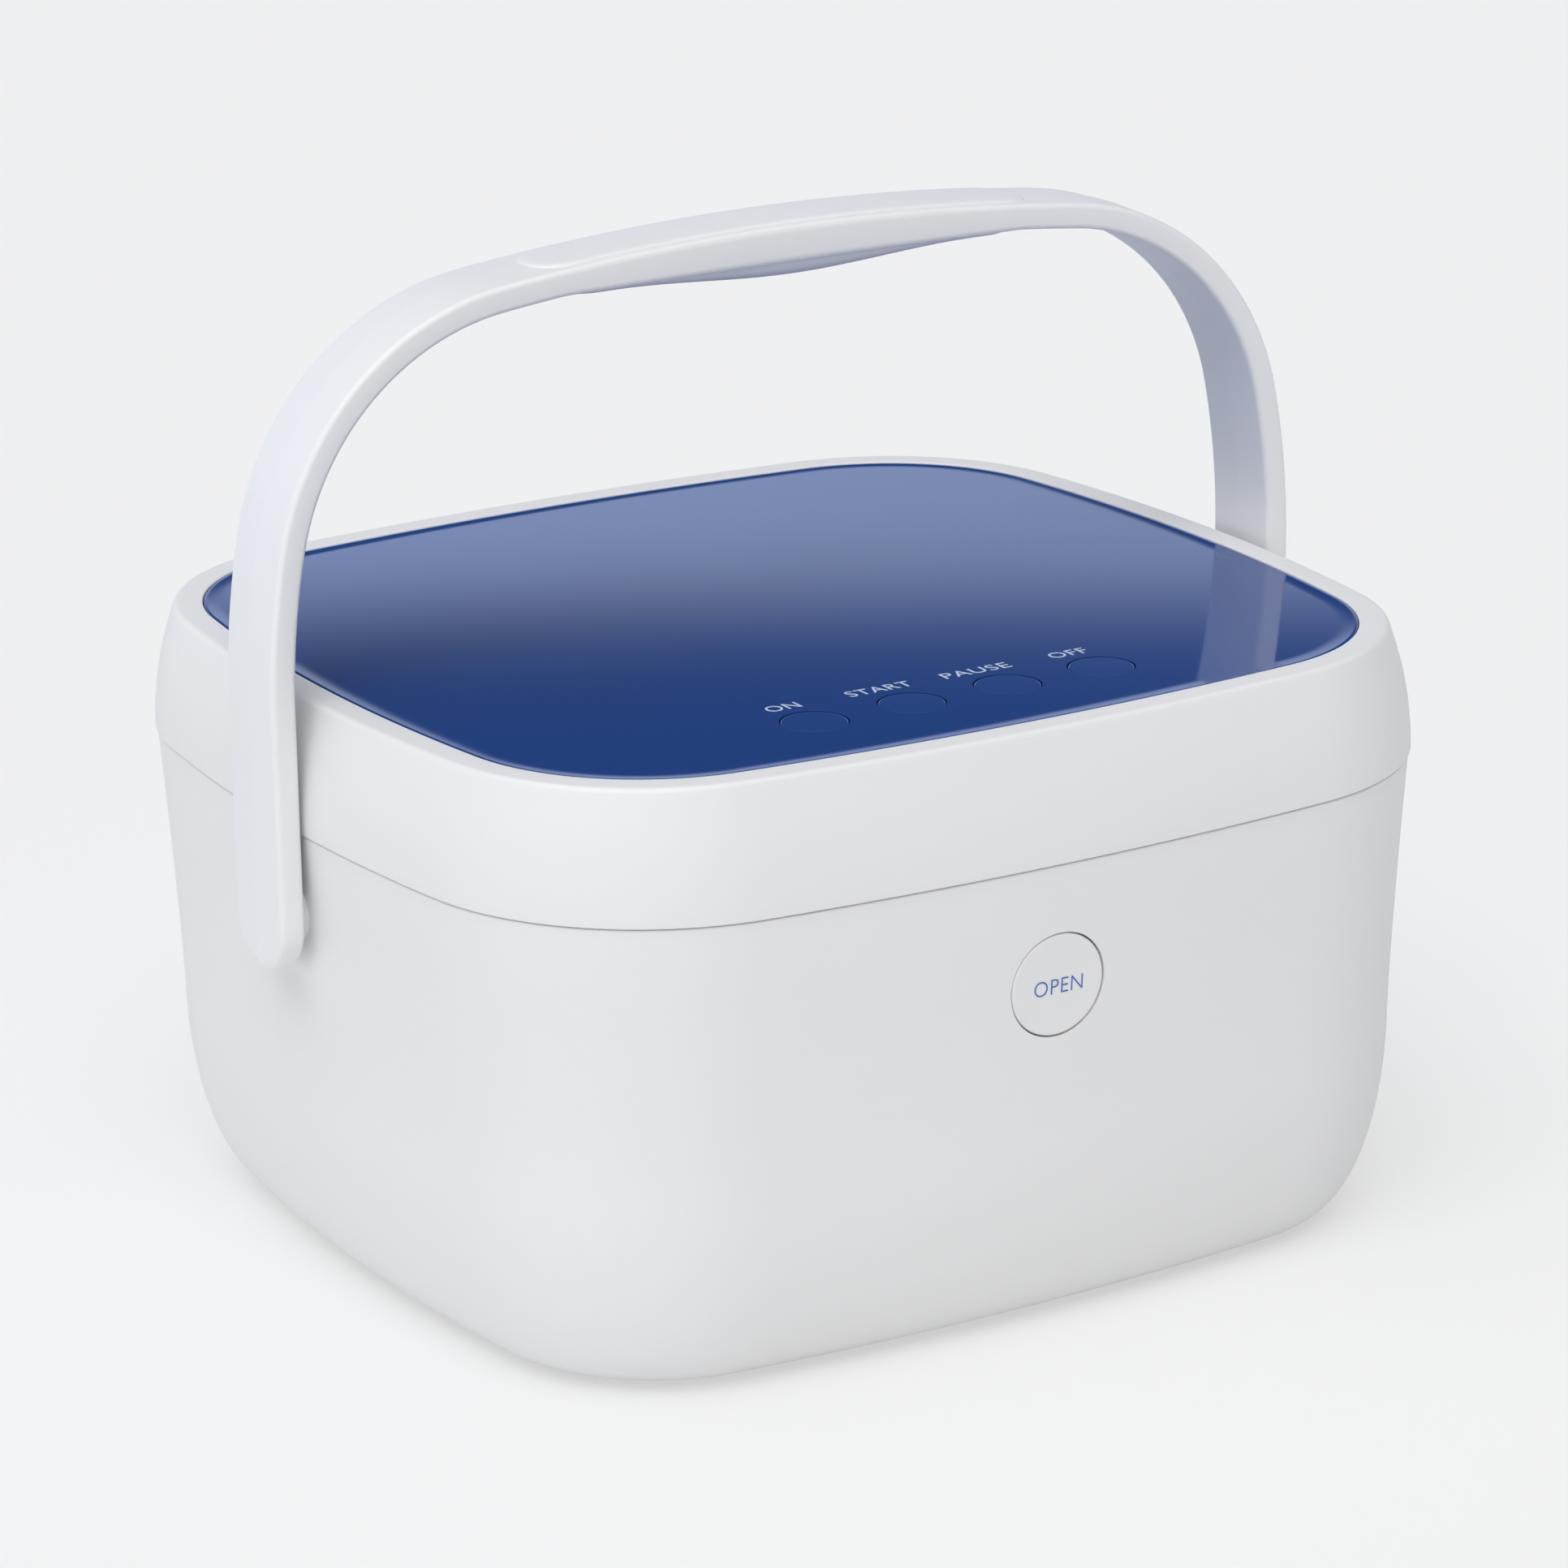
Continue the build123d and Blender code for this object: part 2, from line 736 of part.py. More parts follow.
# Four rubber feet
with BuildPart() as rubber_feet:
    with BuildSketch():
        with GridLocations(foot_spacing_x, foot_spacing_y, 2, 2):
            Circle(foot_diameter / 2)
    extrude(amount=foot_height)
rubber_feet.part.label = "rubber_feet"
export_step(rubber_feet.part, "parts/rubber_feet.step")

# Screws of the base cover
with BuildPart() as base_screws:
    for x, y in cover_screw_places:
        add(case_screw((x, y, foot_height + cover_head_room), (0, 0, 1), cover_screw_length))
base_screws.part.label = "base_screws"
export_step(base_screws.part, "parts/base_screws.step")

# Reflective tub with its flange, lamp windows' seats and board standoffs
with BuildPart() as inner_tub:
    add(tub_solid(0, flange_top))
    add(slab(flange_bottom, flange_top, flange_growth))
    add(tub_solid(tub_wall, flange_top), mode=Mode.SUBTRACT)
    for x, y in lamp_board_posts:
        add(upright(x, y, lamp_board_top, tub_floor_bottom + standoff_seat, standoff_diameter / 2))
        bore = upright(x, y, lamp_board_top, tub_floor_bottom + standoff_bore, board_bore)
        add(bore, mode=Mode.SUBTRACT)
    window_seat_radius = window_diameter / 2 + window_play
    seat_top = tub_floor_bottom + window_thickness
    for x, y in lamp_places:
        hole = upright(x, y, tub_floor_bottom - 1, tub_floor_top + 1, window_hole_diameter / 2)
        add(hole, mode=Mode.SUBTRACT)
        add(upright(x, y, tub_floor_bottom - 1, seat_top, window_seat_radius), mode=Mode.SUBTRACT)
    for x, y in tub_screw_places:
        add(upright(x, y, flange_bottom, flange_top, screw_hole), mode=Mode.SUBTRACT)
    notch_low = (-slot_half, striker_front - 5, flange_bottom - 1)
    notch_high = (slot_half, lip_back + 3, flange_top + 1)
    add(block(notch_low, notch_high), mode=Mode.SUBTRACT)
    arm_notch_low = (-hinge_bay, bay_front, flange_bottom - 1)
    arm_notch_high = (hinge_bay, hinge_y + 5, flange_top + 1)
    add(block(arm_notch_low, arm_notch_high), mode=Mode.SUBTRACT)
inner_tub.part.label = "inner_tub"
export_step(inner_tub.part, "parts/inner_tub.step")

# Screws of the tub's flange
with BuildPart() as tub_screws:
    for x, y in tub_screw_places:
        add(case_screw((x, y, flange_top), (0, 0, -1), screw_length))
tub_screws.part.label = "tub_screws"
export_step(tub_screws.part, "parts/tub_screws.step")

# Silicone gasket between the tub's flange and the lid liner
with BuildPart() as rim_gasket:
    add(slab(flange_top, gasket_top, gasket_inner_growth + gasket_width))
    add(slab(flange_top, gasket_top, gasket_inner_growth), mode=Mode.SUBTRACT)
rim_gasket.part.label = "rim_gasket"
export_step(rim_gasket.part, "parts/rim_gasket.step")

# Wire rack that carries masks and tubes above the floor
with BuildPart() as wire_rack:
    loop = outline(-rack_inset).wire().moved(Location((0, 0, rack_z)))
    with BuildSketch(Plane(origin=loop @ 0, z_dir=loop % 0)):
        Circle(rack_rod_diameter / 2)
    sweep(path=loop)
    for number in range(rack_wire_count):
        x = number * rack_wire_pitch - rack_wire_span / 2
        reach = depth_at(x, -rack_inset)
        add(lengthwise(x, rack_z, -reach, reach, rack_wire_diameter / 2))
    for x, y in rack_leg_places:
        add(upright(x, y, tub_floor_top, rack_z, rack_rod_diameter / 2))
wire_rack.part.label = "wire_rack"
export_step(wire_rack.part, "parts/wire_rack.step")

# Lamp board under the tub's floor, with its lamps, windows and screws
with BuildPart() as floor_led_board:
    half_x = lamp_board_length / 2
    half_y = lamp_board_width / 2
    lamp_board_bottom = lamp_board_top - board_thickness
    add(block((-half_x, -half_y, lamp_board_bottom), (half_x, half_y, lamp_board_top)))
    for x, y in lamp_board_posts:
        add(upright(x, y, lamp_board_bottom, lamp_board_top, board_hole), mode=Mode.SUBTRACT)
floor_led_board.part.label = "floor_led_board"
export_step(floor_led_board.part, "parts/floor_led_board.step")

with BuildPart() as floor_leds:
    with Locations((0, 0, lamp_board_top + lamp_height / 2)):
        with GridLocations(lamp_pitch_x, lamp_pitch_y, 3, 2):
            Box(lamp_side, lamp_side, lamp_height)
floor_leds.part.label = "floor_leds"
export_step(floor_leds.part, "parts/floor_leds.step")

with BuildPart() as floor_windows:
    with BuildSketch(Plane.XY.offset(tub_floor_bottom)):
        with GridLocations(lamp_pitch_x, lamp_pitch_y, 3, 2):
            Circle(window_diameter / 2)
    extrude(amount=window_thickness)
floor_windows.part.label = "floor_windows"
export_step(floor_windows.part, "parts/floor_windows.step")

with BuildPart() as floor_board_screws:
    for x, y in lamp_board_posts:
        add(board_screw((x, y, lamp_board_top - board_thickness), (0, 0, 1), lamp_screw_length))
floor_board_screws.part.label = "floor_board_screws"
export_step(floor_board_screws.part, "parts/floor_board_screws.step")

# Control board on the base cover, with its parts
with BuildPart() as control_board:
    half_x = control_board_length / 2
    half_y = control_board_width / 2
    add(block((-half_x, -half_y, control_board_bottom), (half_x, half_y, control_board_top)))
    for x, y in control_post_places:
        add(upright(x, y, control_board_bottom, control_board_top, board_hole), mode=Mode.SUBTRACT)
control_board.part.label = "control_board"
export_step(control_board.part, "parts/control_board.step")

with BuildPart() as control_board_screws:
    for x, y in control_post_places:
        add(board_screw((x, y, control_board_top), (0, 0, -1), lamp_screw_length))
control_board_screws.part.label = "control_board_screws"
export_step(control_board_screws.part, "parts/control_board_screws.step")

with BuildPart() as processor:
    half = processor_side / 2
    low = (-half, -half, control_board_top)
    high = (half, half, control_board_top + processor_height)
    add(block(low, high))
processor.part.label = "processor"
export_step(processor.part, "parts/processor.step")

with BuildPart() as capacitors:
    for x in capacitor_xs:
        top = control_board_top + capacitor_height
        add(upright(x, capacitor_y, control_board_top, top, capacitor_radius))
capacitors.part.label = "capacitors"
export_step(capacitors.part, "parts/capacitors.step")

with BuildPart() as power_coil:
    add(upright(*coil_place, control_board_top, control_board_top + coil_height, coil_radius))
power_coil.part.label = "power_coil"
export_step(power_coil.part, "parts/power_coil.step")

with BuildPart() as buzzer:
    buzzer_top = control_board_top + buzzer_height
    add(upright(*buzzer_place, control_board_top, buzzer_top, buzzer_radius))
    add(upright(*buzzer_place, buzzer_top - 1, buzzer_top, buzzer_hole_radius), mode=Mode.SUBTRACT)
buzzer.part.label = "buzzer"
export_step(buzzer.part, "parts/buzzer.step")

with BuildPart() as board_connectors:
    half_x = connector_length / 2
    half_y = connector_width / 2
    top = control_board_top + connector_height
    for x in connector_xs:
        low = (x - half_x, connector_y - half_y, control_board_top)
        high = (x + half_x, connector_y + half_y, top)
        add(block(low, high))
        room_x = half_x - connector_wall
        room_y = half_y - connector_wall
        low = (x - room_x, connector_y - room_y, control_board_top + 1.5)
        high = (x + room_x, connector_y + room_y, top)
        add(block(low, high), mode=Mode.SUBTRACT)
board_connectors.part.label = "board_connectors"
export_step(board_connectors.part, "parts/board_connectors.step")

# Low-voltage inlet in the back wall and its centre pin
with BuildPart() as dc_inlet:
    add(lengthwise(inlet_x, inlet_height, inlet_y - inlet_length, inlet_y, inlet_diameter / 2))
    add(lengthwise(inlet_x, inlet_height, inlet_y, inlet_front, inlet_flange_diameter / 2))
    bore_back = inlet_front - inlet_bore_depth
    bore = lengthwise(inlet_x, inlet_height, bore_back, inlet_front, inlet_bore_diameter / 2)
    add(bore, mode=Mode.SUBTRACT)
dc_inlet.part.label = "dc_inlet"
export_step(dc_inlet.part, "parts/dc_inlet.step")

with BuildPart() as dc_inlet_pin:
    add(lengthwise(inlet_x, inlet_height, bore_back, inlet_front - 1, inlet_pin_diameter / 2))
dc_inlet_pin.part.label = "dc_inlet_pin"
export_step(dc_inlet_pin.part, "parts/dc_inlet_pin.step")

# Sensor under the tub's flange that feels the magnet in the lid
with BuildPart() as lid_sensor:
    half_x = sensor_length / 2
    half_y = sensor_width / 2
    low = (sensor_x - half_x, sensor_y - half_y, flange_bottom - sensor_height)
    high = (sensor_x + half_x, sensor_y + half_y, flange_bottom)
    add(block(low, high))
lid_sensor.part.label = "lid_sensor"
export_step(lid_sensor.part, "parts/lid_sensor.step")

with BuildPart() as lid_magnet:
    add(upright(sensor_x, sensor_y, liner_flange_top, liner_flange_top + magnet_height, magnet_radius))
lid_magnet.part.label = "lid_magnet"
export_step(lid_magnet.part, "parts/lid_magnet.step")

# OPEN button: cap flush with the tapered wall, retaining flange and stem
with BuildPart() as open_button:
    cap = lengthwise(0, open_height, open_flange_front, front_wall - 5, open_diameter / 2)
    add(cap & housing_outside)
    flange_radius = open_diameter / 2 + open_flange_rim
    add(lengthwise(0, open_height, open_flange_front, open_flange_back, flange_radius))
    add(lengthwise(0, open_height, open_flange_back, hook_front, stem_diameter / 2))
    add(lengthwise(0, open_height, hook_front - 4, hook_front, screw_bore), mode=Mode.SUBTRACT)
open_button.part.label = "open_button"
export_step(open_button.part, "parts/open_button.step")

with BuildPart() as latch_hook:
    half = hook_width / 2
    add(block((-half, hook_front, open_height - hook_foot), (half, hook_back, nose_top)))
    add(block((-half, nose_front, nose_bottom), (half, hook_front, nose_top)))
    add(lengthwise(0, open_height, hook_front, hook_back, screw_hole), mode=Mode.SUBTRACT)
latch_hook.part.label = "latch_hook"
export_step(latch_hook.part, "parts/latch_hook.step")

with BuildPart() as hook_screw:
    add(case_screw((0, hook_back, open_height), (0, -1, 0), hook_thickness + 4))
hook_screw.part.label = "hook_screw"
export_step(hook_screw.part, "parts/hook_screw.step")

# Guide plate behind the OPEN button, its screws and the return spring
with BuildPart() as button_guide:
    half = guide_width / 2
    low = (-half, guide_front, open_height - guide_half_height)
    high = (half, guide_back, open_height + guide_half_height)
    add(block(low, high))
    stem_bore_radius = stem_diameter / 2 + stem_play
    add(lengthwise(0, open_height, guide_front, guide_back, stem_bore_radius), mode=Mode.SUBTRACT)
    for x in (guide_screw_x, -guide_screw_x):
        add(lengthwise(x, open_height, guide_front, guide_back, screw_hole), mode=Mode.SUBTRACT)
button_guide.part.label = "button_guide"
export_step(button_guide.part, "parts/button_guide.step")

with BuildPart() as guide_screws:
    for x in (guide_screw_x, -guide_screw_x):
        add(case_screw((x, guide_back, open_height), (0, -1, 0), guide_thickness + 5))
guide_screws.part.label = "guide_screws"
export_step(guide_screws.part, "parts/guide_screws.step")

with BuildPart() as open_button_spring:
    rise = spring_room - spring_wire
    start = Plane(origin=(0, open_flange_back + spring_wire / 2, open_height), z_dir=(0, 1, 0))
    coil = Helix(rise / spring_turns, rise, (spring_diameter - spring_wire) / 2).locate(start.location)
    with BuildSketch(Plane(origin=coil @ 0, z_dir=coil % 0)):
        Circle(spring_wire / 2)
    sweep(path=coil, is_frenet=True)
open_button_spring.part.label = "open_button_spring"
export_step(open_button_spring.part, "parts/open_button_spring.step")

# Striker that hangs from the lid liner into the front slot
with BuildPart() as striker:
    half = striker_width / 2
    tab_top = liner_bottom
    add(block((-half, striker_front, tab_top - striker_tab), (half, striker_tab_back, tab_top)))
    add(block((-half, striker_front, striker_bottom), (half, striker_back, tab_top)))
    add(block((-half, striker_back, striker_bottom), (half, lip_back, lip_top)))
    for x in (striker_screw_x, -striker_screw_x):
        add(upright(x, striker_screw_y, tab_top - striker_tab, tab_top, screw_bore), mode=Mode.SUBTRACT)
striker.part.label = "striker"
export_step(striker.part, "parts/striker.step")

with BuildPart() as striker_screws:
    for x in (striker_screw_x, -striker_screw_x):
        seat = (x, striker_screw_y, liner_flange_top)
        add(case_screw(seat, (0, 0, -1), liner_flange_thickness + striker_tab))
striker_screws.part.label = "striker_screws"
export_step(striker_screws.part, "parts/striker_screws.step")

# Hinge: bracket inside the back wall, pin, lid leaf and their screws
with BuildPart() as hinge_bracket:
    add(block((-hinge_half_span, arm_front, arm_bottom), (hinge_half_span, arm_back, bridge_top)))
    for side in (1, -1):
        inner = side * (lid_knuckle_half + knuckle_play)
        outer = side * hinge_half_span
        low_x = min(inner, outer)
        high_x = max(inner, outer)
        add(block((low_x, arm_front, arm_bottom), (high_x, arm_back, hinge_z)))
        add(crosswise(inner, outer, hinge_y, hinge_z, hinge_barrel_radius))
    pin_hole_radius = hinge_pin_radius + pin_play
    pin_hole = crosswise(-hinge_half_span, hinge_half_span, hinge_y, hinge_z, pin_hole_radius)
    add(pin_hole, mode=Mode.SUBTRACT)
    for x in hinge_screw_x:
        add(lengthwise(x, hinge_screw_z, arm_front, arm_back, screw_hole), mode=Mode.SUBTRACT)
hinge_bracket.part.label = "hinge_bracket"
export_step(hinge_bracket.part, "parts/hinge_bracket.step")

with BuildPart() as hinge_pin:
    add(crosswise(-hinge_half_span, hinge_half_span, hinge_y, hinge_z, hinge_pin_radius))
hinge_pin.part.label = "hinge_pin"
export_step(hinge_pin.part, "parts/hinge_pin.step")

with BuildPart() as hinge_screws:
    for x in hinge_screw_x:
        add(case_screw((x, arm_front, hinge_screw_z), (0, 1, 0), hinge_arm_thickness + 3))
hinge_screws.part.label = "hinge_screws"
export_step(hinge_screws.part, "parts/hinge_screws.step")

with BuildPart() as lid_hinge_leaf:
    half = lid_knuckle_half
    add(crosswise(-half, half, hinge_y, hinge_z, hinge_barrel_radius))
    leaf_top = liner_flange_top + leaf_thickness
    add(block((-half, hinge_y - leaf_length, liner_flange_top), (half, hinge_y, leaf_top)))
    add(crosswise(-half, half, hinge_y, hinge_z, pin_hole_radius), mode=Mode.SUBTRACT)
    for x in (leaf_screw_x, -leaf_screw_x):
        add(upright(x, leaf_screw_y, liner_flange_top, leaf_top, screw_hole), mode=Mode.SUBTRACT)
lid_hinge_leaf.part.label = "lid_hinge_leaf"
export_step(lid_hinge_leaf.part, "parts/lid_hinge_leaf.step")

with BuildPart() as leaf_screws:
    for x in (leaf_screw_x, -leaf_screw_x):
        seat = (x, leaf_screw_y, liner_flange_top + leaf_thickness)
        add(case_screw(seat, (0, 0, -1), leaf_thickness + liner_flange_thickness))
leaf_screws.part.label = "leaf_screws"
export_step(leaf_screws.part, "parts/leaf_screws.step")

# Lid frame: bulged wall, flat rim, recess for the panel and screw columns
rim_start = rim_height - rim_round
rim_levels = []
for angle in (0, 45, 90):
    turn = math.radians(angle)
    growth = lid_growth(rim_start) - rim_round * (1 - math.cos(turn))
    rim_levels.append((rim_start + rim_round * math.sin(turn), growth))

with BuildPart() as lid_shell:
    add(stack(lid_levels(0, rim_start)))
    add(stack(rim_levels))
    add(stack(lid_levels(wall, panel_ledge_bottom)), mode=Mode.SUBTRACT)
    add(slab(panel_ledge_bottom, panel_bottom, -panel_ledge_width), mode=Mode.SUBTRACT)
    add(slab(panel_bottom, rim_height, 0), mode=Mode.SUBTRACT)
    for x, y in lid_screw_places:
        add(upright(x, y, liner_flange_top, panel_ledge_bottom + 1, boss_column_diameter / 2))
        bore = upright(x, y, liner_flange_top, liner_flange_top + screw_bore_depth, screw_bore)
        add(bore, mode=Mode.SUBTRACT)
    bay_low = (-hinge_bay, bay_front, seam_top - 1)
    bay_high = (hinge_bay, hinge_y + 6, hinge_z + hinge_barrel_radius + hinge_bay_play)
    add(block(bay_low, bay_high), mode=Mode.SUBTRACT)
lid_shell.part.label = "lid_shell"
export_step(lid_shell.part, "parts/lid_shell.step")

# Glossy top panel with a bevelled edge and four button holes
with BuildPart() as top_panel:
    bevel_start = panel_top - panel_bevel
    add(slab(panel_bottom, bevel_start, -panel_play))
    add(stack([(bevel_start, -panel_play), (panel_top, -panel_play - panel_bevel)], ruled=True))
    for x in button_places:
        hole_radius = button_diameter / 2 + button_play
        hole = upright(x, button_row_y, panel_bottom - 1, panel_top + 1, hole_radius)
        add(hole, mode=Mode.SUBTRACT)
top_panel.part.label = "top_panel"
export_step(top_panel.part, "parts/top_panel.step")

# Lid liner: flange against the gasket and a shallow reflective dome
with BuildPart() as lid_liner:
    add(slab(liner_bottom, liner_flange_top, liner_growth))
    dome = [
        (liner_bottom, liner_thickness - tub_mouth_inset),
        (liner_roof_top, liner_thickness - liner_roof_inset),
    ]
    add(stack(dome, ruled=True))
    hollow = [(liner_bottom, -tub_mouth_inset), (liner_roof_bottom, -liner_roof_inset)]
    add(stack(hollow, ruled=True), mode=Mode.SUBTRACT)
    for x, y in lamp_places:
        hole = upright(x, y, liner_roof_bottom - 1, liner_roof_top + 1, window_hole_diameter / 2)
        add(hole, mode=Mode.SUBTRACT)
        seat_bottom = liner_roof_top - window_thickness
        add(upright(x, y, seat_bottom, liner_roof_top + 1, window_seat_radius), mode=Mode.SUBTRACT)
    post_bottom = liner_roof_top - standoff_seat
    bore_bottom = liner_roof_top - standoff_bore
    for x, y in lamp_board_posts:
        add(upright(x, y, post_bottom, lid_board_bottom, standoff_diameter / 2))
        add(upright(x, y, bore_bottom, lid_board_bottom, board_bore), mode=Mode.SUBTRACT)
    for x in button_board_posts:
        y = button_row_y
        add(upright(x, y, post_bottom, button_board_bottom, standoff_diameter / 2))
        add(upright(x, y, bore_bottom, button_board_bottom, board_bore), mode=Mode.SUBTRACT)
    for x, y in lid_screw_places:
        add(upright(x, y, liner_bottom, liner_flange_top, screw_hole), mode=Mode.SUBTRACT)
    for x in (striker_screw_x, -striker_screw_x):
        bore = upright(x, striker_screw_y, liner_bottom, liner_flange_top, screw_bore)
        add(bore, mode=Mode.SUBTRACT)
    for x in (leaf_screw_x, -leaf_screw_x):
        bore = upright(x, leaf_screw_y, liner_bottom, liner_flange_top, screw_bore)
        add(bore, mode=Mode.SUBTRACT)
    bay_low = (-hinge_bay, bay_front, liner_bottom - 1)
    bay_high = (hinge_bay, hinge_y + 5, liner_flange_top + 1)
    add(block(bay_low, bay_high), mode=Mode.SUBTRACT)
lid_liner.part.label = "lid_liner"
export_step(lid_liner.part, "parts/lid_liner.step")

with BuildPart() as lid_screws:
    for x, y in lid_screw_places:
        add(case_screw((x, y, liner_bottom), (0, 0, 1), screw_length))
lid_screws.part.label = "lid_screws"
export_step(lid_screws.part, "parts/lid_screws.step")

# Lamp board on the liner's roof, with its lamps, windows and screws
with BuildPart() as lid_led_board:
    half_x = lamp_board_length / 2
    half_y = lamp_board_width / 2
    lid_board_top = lid_board_bottom + board_thickness
    add(block((-half_x, -half_y, lid_board_bottom), (half_x, half_y, lid_board_top)))
    for x, y in lamp_board_posts:
        add(upright(x, y, lid_board_bottom, lid_board_top, board_hole), mode=Mode.SUBTRACT)
lid_led_board.part.label = "lid_led_board"
export_step(lid_led_board.part, "parts/lid_led_board.step")

with BuildPart() as lid_leds:
    with Locations((0, 0, lid_board_bottom - lamp_height / 2)):
        with GridLocations(lamp_pitch_x, lamp_pitch_y, 3, 2):
            Box(lamp_side, lamp_side, lamp_height)
lid_leds.part.label = "lid_leds"
export_step(lid_leds.part, "parts/lid_leds.step")

with BuildPart() as lid_windows:
    with BuildSketch(Plane.XY.offset(liner_roof_top - window_thickness)):
        with GridLocations(lamp_pitch_x, lamp_pitch_y, 3, 2):
            Circle(window_diameter / 2)
    extrude(amount=window_thickness)
lid_windows.part.label = "lid_windows"
export_step(lid_windows.part, "parts/lid_windows.step")

with BuildPart() as lid_board_screws:
    for x, y in lamp_board_posts:
        add(board_screw((x, y, lid_board_bottom + board_thickness), (0, 0, -1), lamp_screw_length))
lid_board_screws.part.label = "lid_board_screws"
export_step(lid_board_screws.part, "parts/lid_board_screws.step")

# Button board with one switch under each push button
with BuildPart() as button_board:
    half_x = button_board_length / 2
    half_y = button_board_width / 2
    low = (button_row_x - half_x, button_row_y - half_y, button_board_bottom)
    high = (button_row_x + half_x, button_row_y + half_y, button_board_top)
    add(block(low, high))
    for x in button_board_posts:
        hole = upright(x, button_row_y, button_board_bottom, button_board_top, board_hole)
        add(hole, mode=Mode.SUBTRACT)
button_board.part.label = "button_board"
export_step(button_board.part, "parts/button_board.step")

with BuildPart() as button_board_screws:
    for x in button_board_posts:
        add(board_screw((x, button_row_y, button_board_top), (0, 0, -1), button_screw_length))
button_board_screws.part.label = "button_board_screws"
export_step(button_board_screws.part, "parts/button_board_screws.step")

switch_top = button_board_top + switch_body_height

with BuildPart() as tact_switches:
    half = switch_side / 2
    for x in button_places:
        low = (x - half, button_row_y - half, button_board_top)
        high = (x + half, button_row_y + half, switch_top)
        add(block(low, high))
        well_radius = plunger_diameter / 2 + switch_play
        well = upright(x, button_row_y, switch_top - switch_well_depth, switch_top, well_radius)
        add(well, mode=Mode.SUBTRACT)
tact_switches.part.label = "tact_switches"
export_step(tact_switches.part, "parts/tact_switches.step")


def push_button(x):
    """Push button with a rounded cap, retaining flange, stem and switch tip."""
    flange_high = panel_bottom - button_flange_play
    flange_low = flange_high - button_flange_thickness
    stem_low = flange_low - button_stem_length
    tip_low = switch_top - switch_tip_depth
    y = button_row_y
    with BuildPart() as solid:
        add(upright(x, y, flange_low, button_top, button_diameter / 2))
        fillet(solid.edges().sort_by(Axis.Z)[-1], button_edge_round)
        add(upright(x, y, flange_low, flange_high, button_diameter / 2 + button_flange_rim))
        add(upright(x, y, stem_low, flange_low, button_stem_diameter / 2))
        add(upright(x, y, tip_low, stem_low, plunger_diameter / 2))
    return solid.part


with BuildPart() as on_button:
    add(push_button(button_places[0]))
on_button.part.label = "on_button"
export_step(on_button.part, "parts/on_button.step")

with BuildPart() as start_button:
    add(push_button(button_places[1]))
start_button.part.label = "start_button"
export_step(start_button.part, "parts/start_button.step")

with BuildPart() as pause_button:
    add(push_button(button_places[2]))
pause_button.part.label = "pause_button"
export_step(pause_button.part, "parts/pause_button.step")

with BuildPart() as off_button:
    add(push_button(button_places[3]))
off_button.part.label = "off_button"
export_step(off_button.part, "parts/off_button.step")

# Carry handle: one moulded bow of flat strap with round ends about the pivots
with BuildPart() as whole_bow:
    add(arch(0, pivot_height, handle_width))
    add(arch(handle_thickness, pivot_height, handle_width), mode=Mode.SUBTRACT)
    for side in (1, -1):
        inner = side * strap_inner
        outer = side * handle_half_width
        add(crosswise(inner, outer, handle_y, pivot_height, handle_width / 2))
    fillet(whole_bow.edges().filter_by(Axis.X, reverse=True), handle_round)
    for side in (1, -1):
        inner = side * strap_inner
        recess_end = side * (strap_inner + stud_head_depth)
        recess = crosswise(inner, recess_end, handle_y, pivot_height, stud_head_diameter / 2)
        add(recess, mode=Mode.SUBTRACT)


def bow_between(low, high):
    """The lengths of the bow between two heights."""
    reach = handle_half_width + 1
    near = (-reach, handle_y - handle_width, low)
    far = (reach, handle_y + handle_width, high)
    return whole_bow.part & block(near, far)


# The moulding is kept in three lengths, so that collision follows its inside closely:
# the straight arms, the sides that start to bend, and the rest of the bow
with BuildPart() as handle_arms:
    add(bow_between(pivot_height - handle_width, handle_turn_height))
handle_arms.part.label = "handle_arms"
export_step(handle_arms.part, "parts/handle_arms.step")

with BuildPart() as handle_sides:
    add(bow_between(handle_turn_height, handle_side_top))
handle_sides.part.label = "handle_sides"
export_step(handle_sides.part, "parts/handle_sides.step")

with BuildPart() as handle_bow:
    add(bow_between(handle_side_top, handle_top + 1))
handle_bow.part.label = "handle_bow"
export_step(handle_bow.part, "parts/handle_bow.step")

# Raised cap on top of the grip
with BuildPart() as grip_cap:
    with BuildSketch(Plane.XY.offset(handle_turn_height)):
        with Locations((0, handle_y)):
            SlotOverall(2 * cap_half_length, 2 * cap_half_width)
    extrude(amount=handle_rise + 5)
    add(arch(-cap_thickness, pivot_height, handle_width), mode=Mode.INTERSECT)
    add(arch(0, pivot_height, handle_width), mode=Mode.SUBTRACT)
grip_cap.part.label = "grip_cap"
export_step(grip_cap.part, "parts/grip_cap.step")

# Swollen grip piece under the bow
grip_radius = crown_radius - handle_thickness
grip_low = bow_crown_z + grip_radius - grip_depth
grip_turn = math.degrees(math.acos(grip_half_length / grip_radius))
grip_line = []
for number in range(-12, 13):
    x = grip_half_length * number / 12
    swell = 0.0
    if abs(x) < grip_swell_half:
        swell = 0.5 + 0.5 * math.cos(math.pi * x / grip_swell_half)
    depth = grip_edge_depth + (grip_depth - grip_edge_depth) * swell
    grip_line.append((x, bow_crown_z + math.sqrt(grip_radius**2 - x**2) - depth))

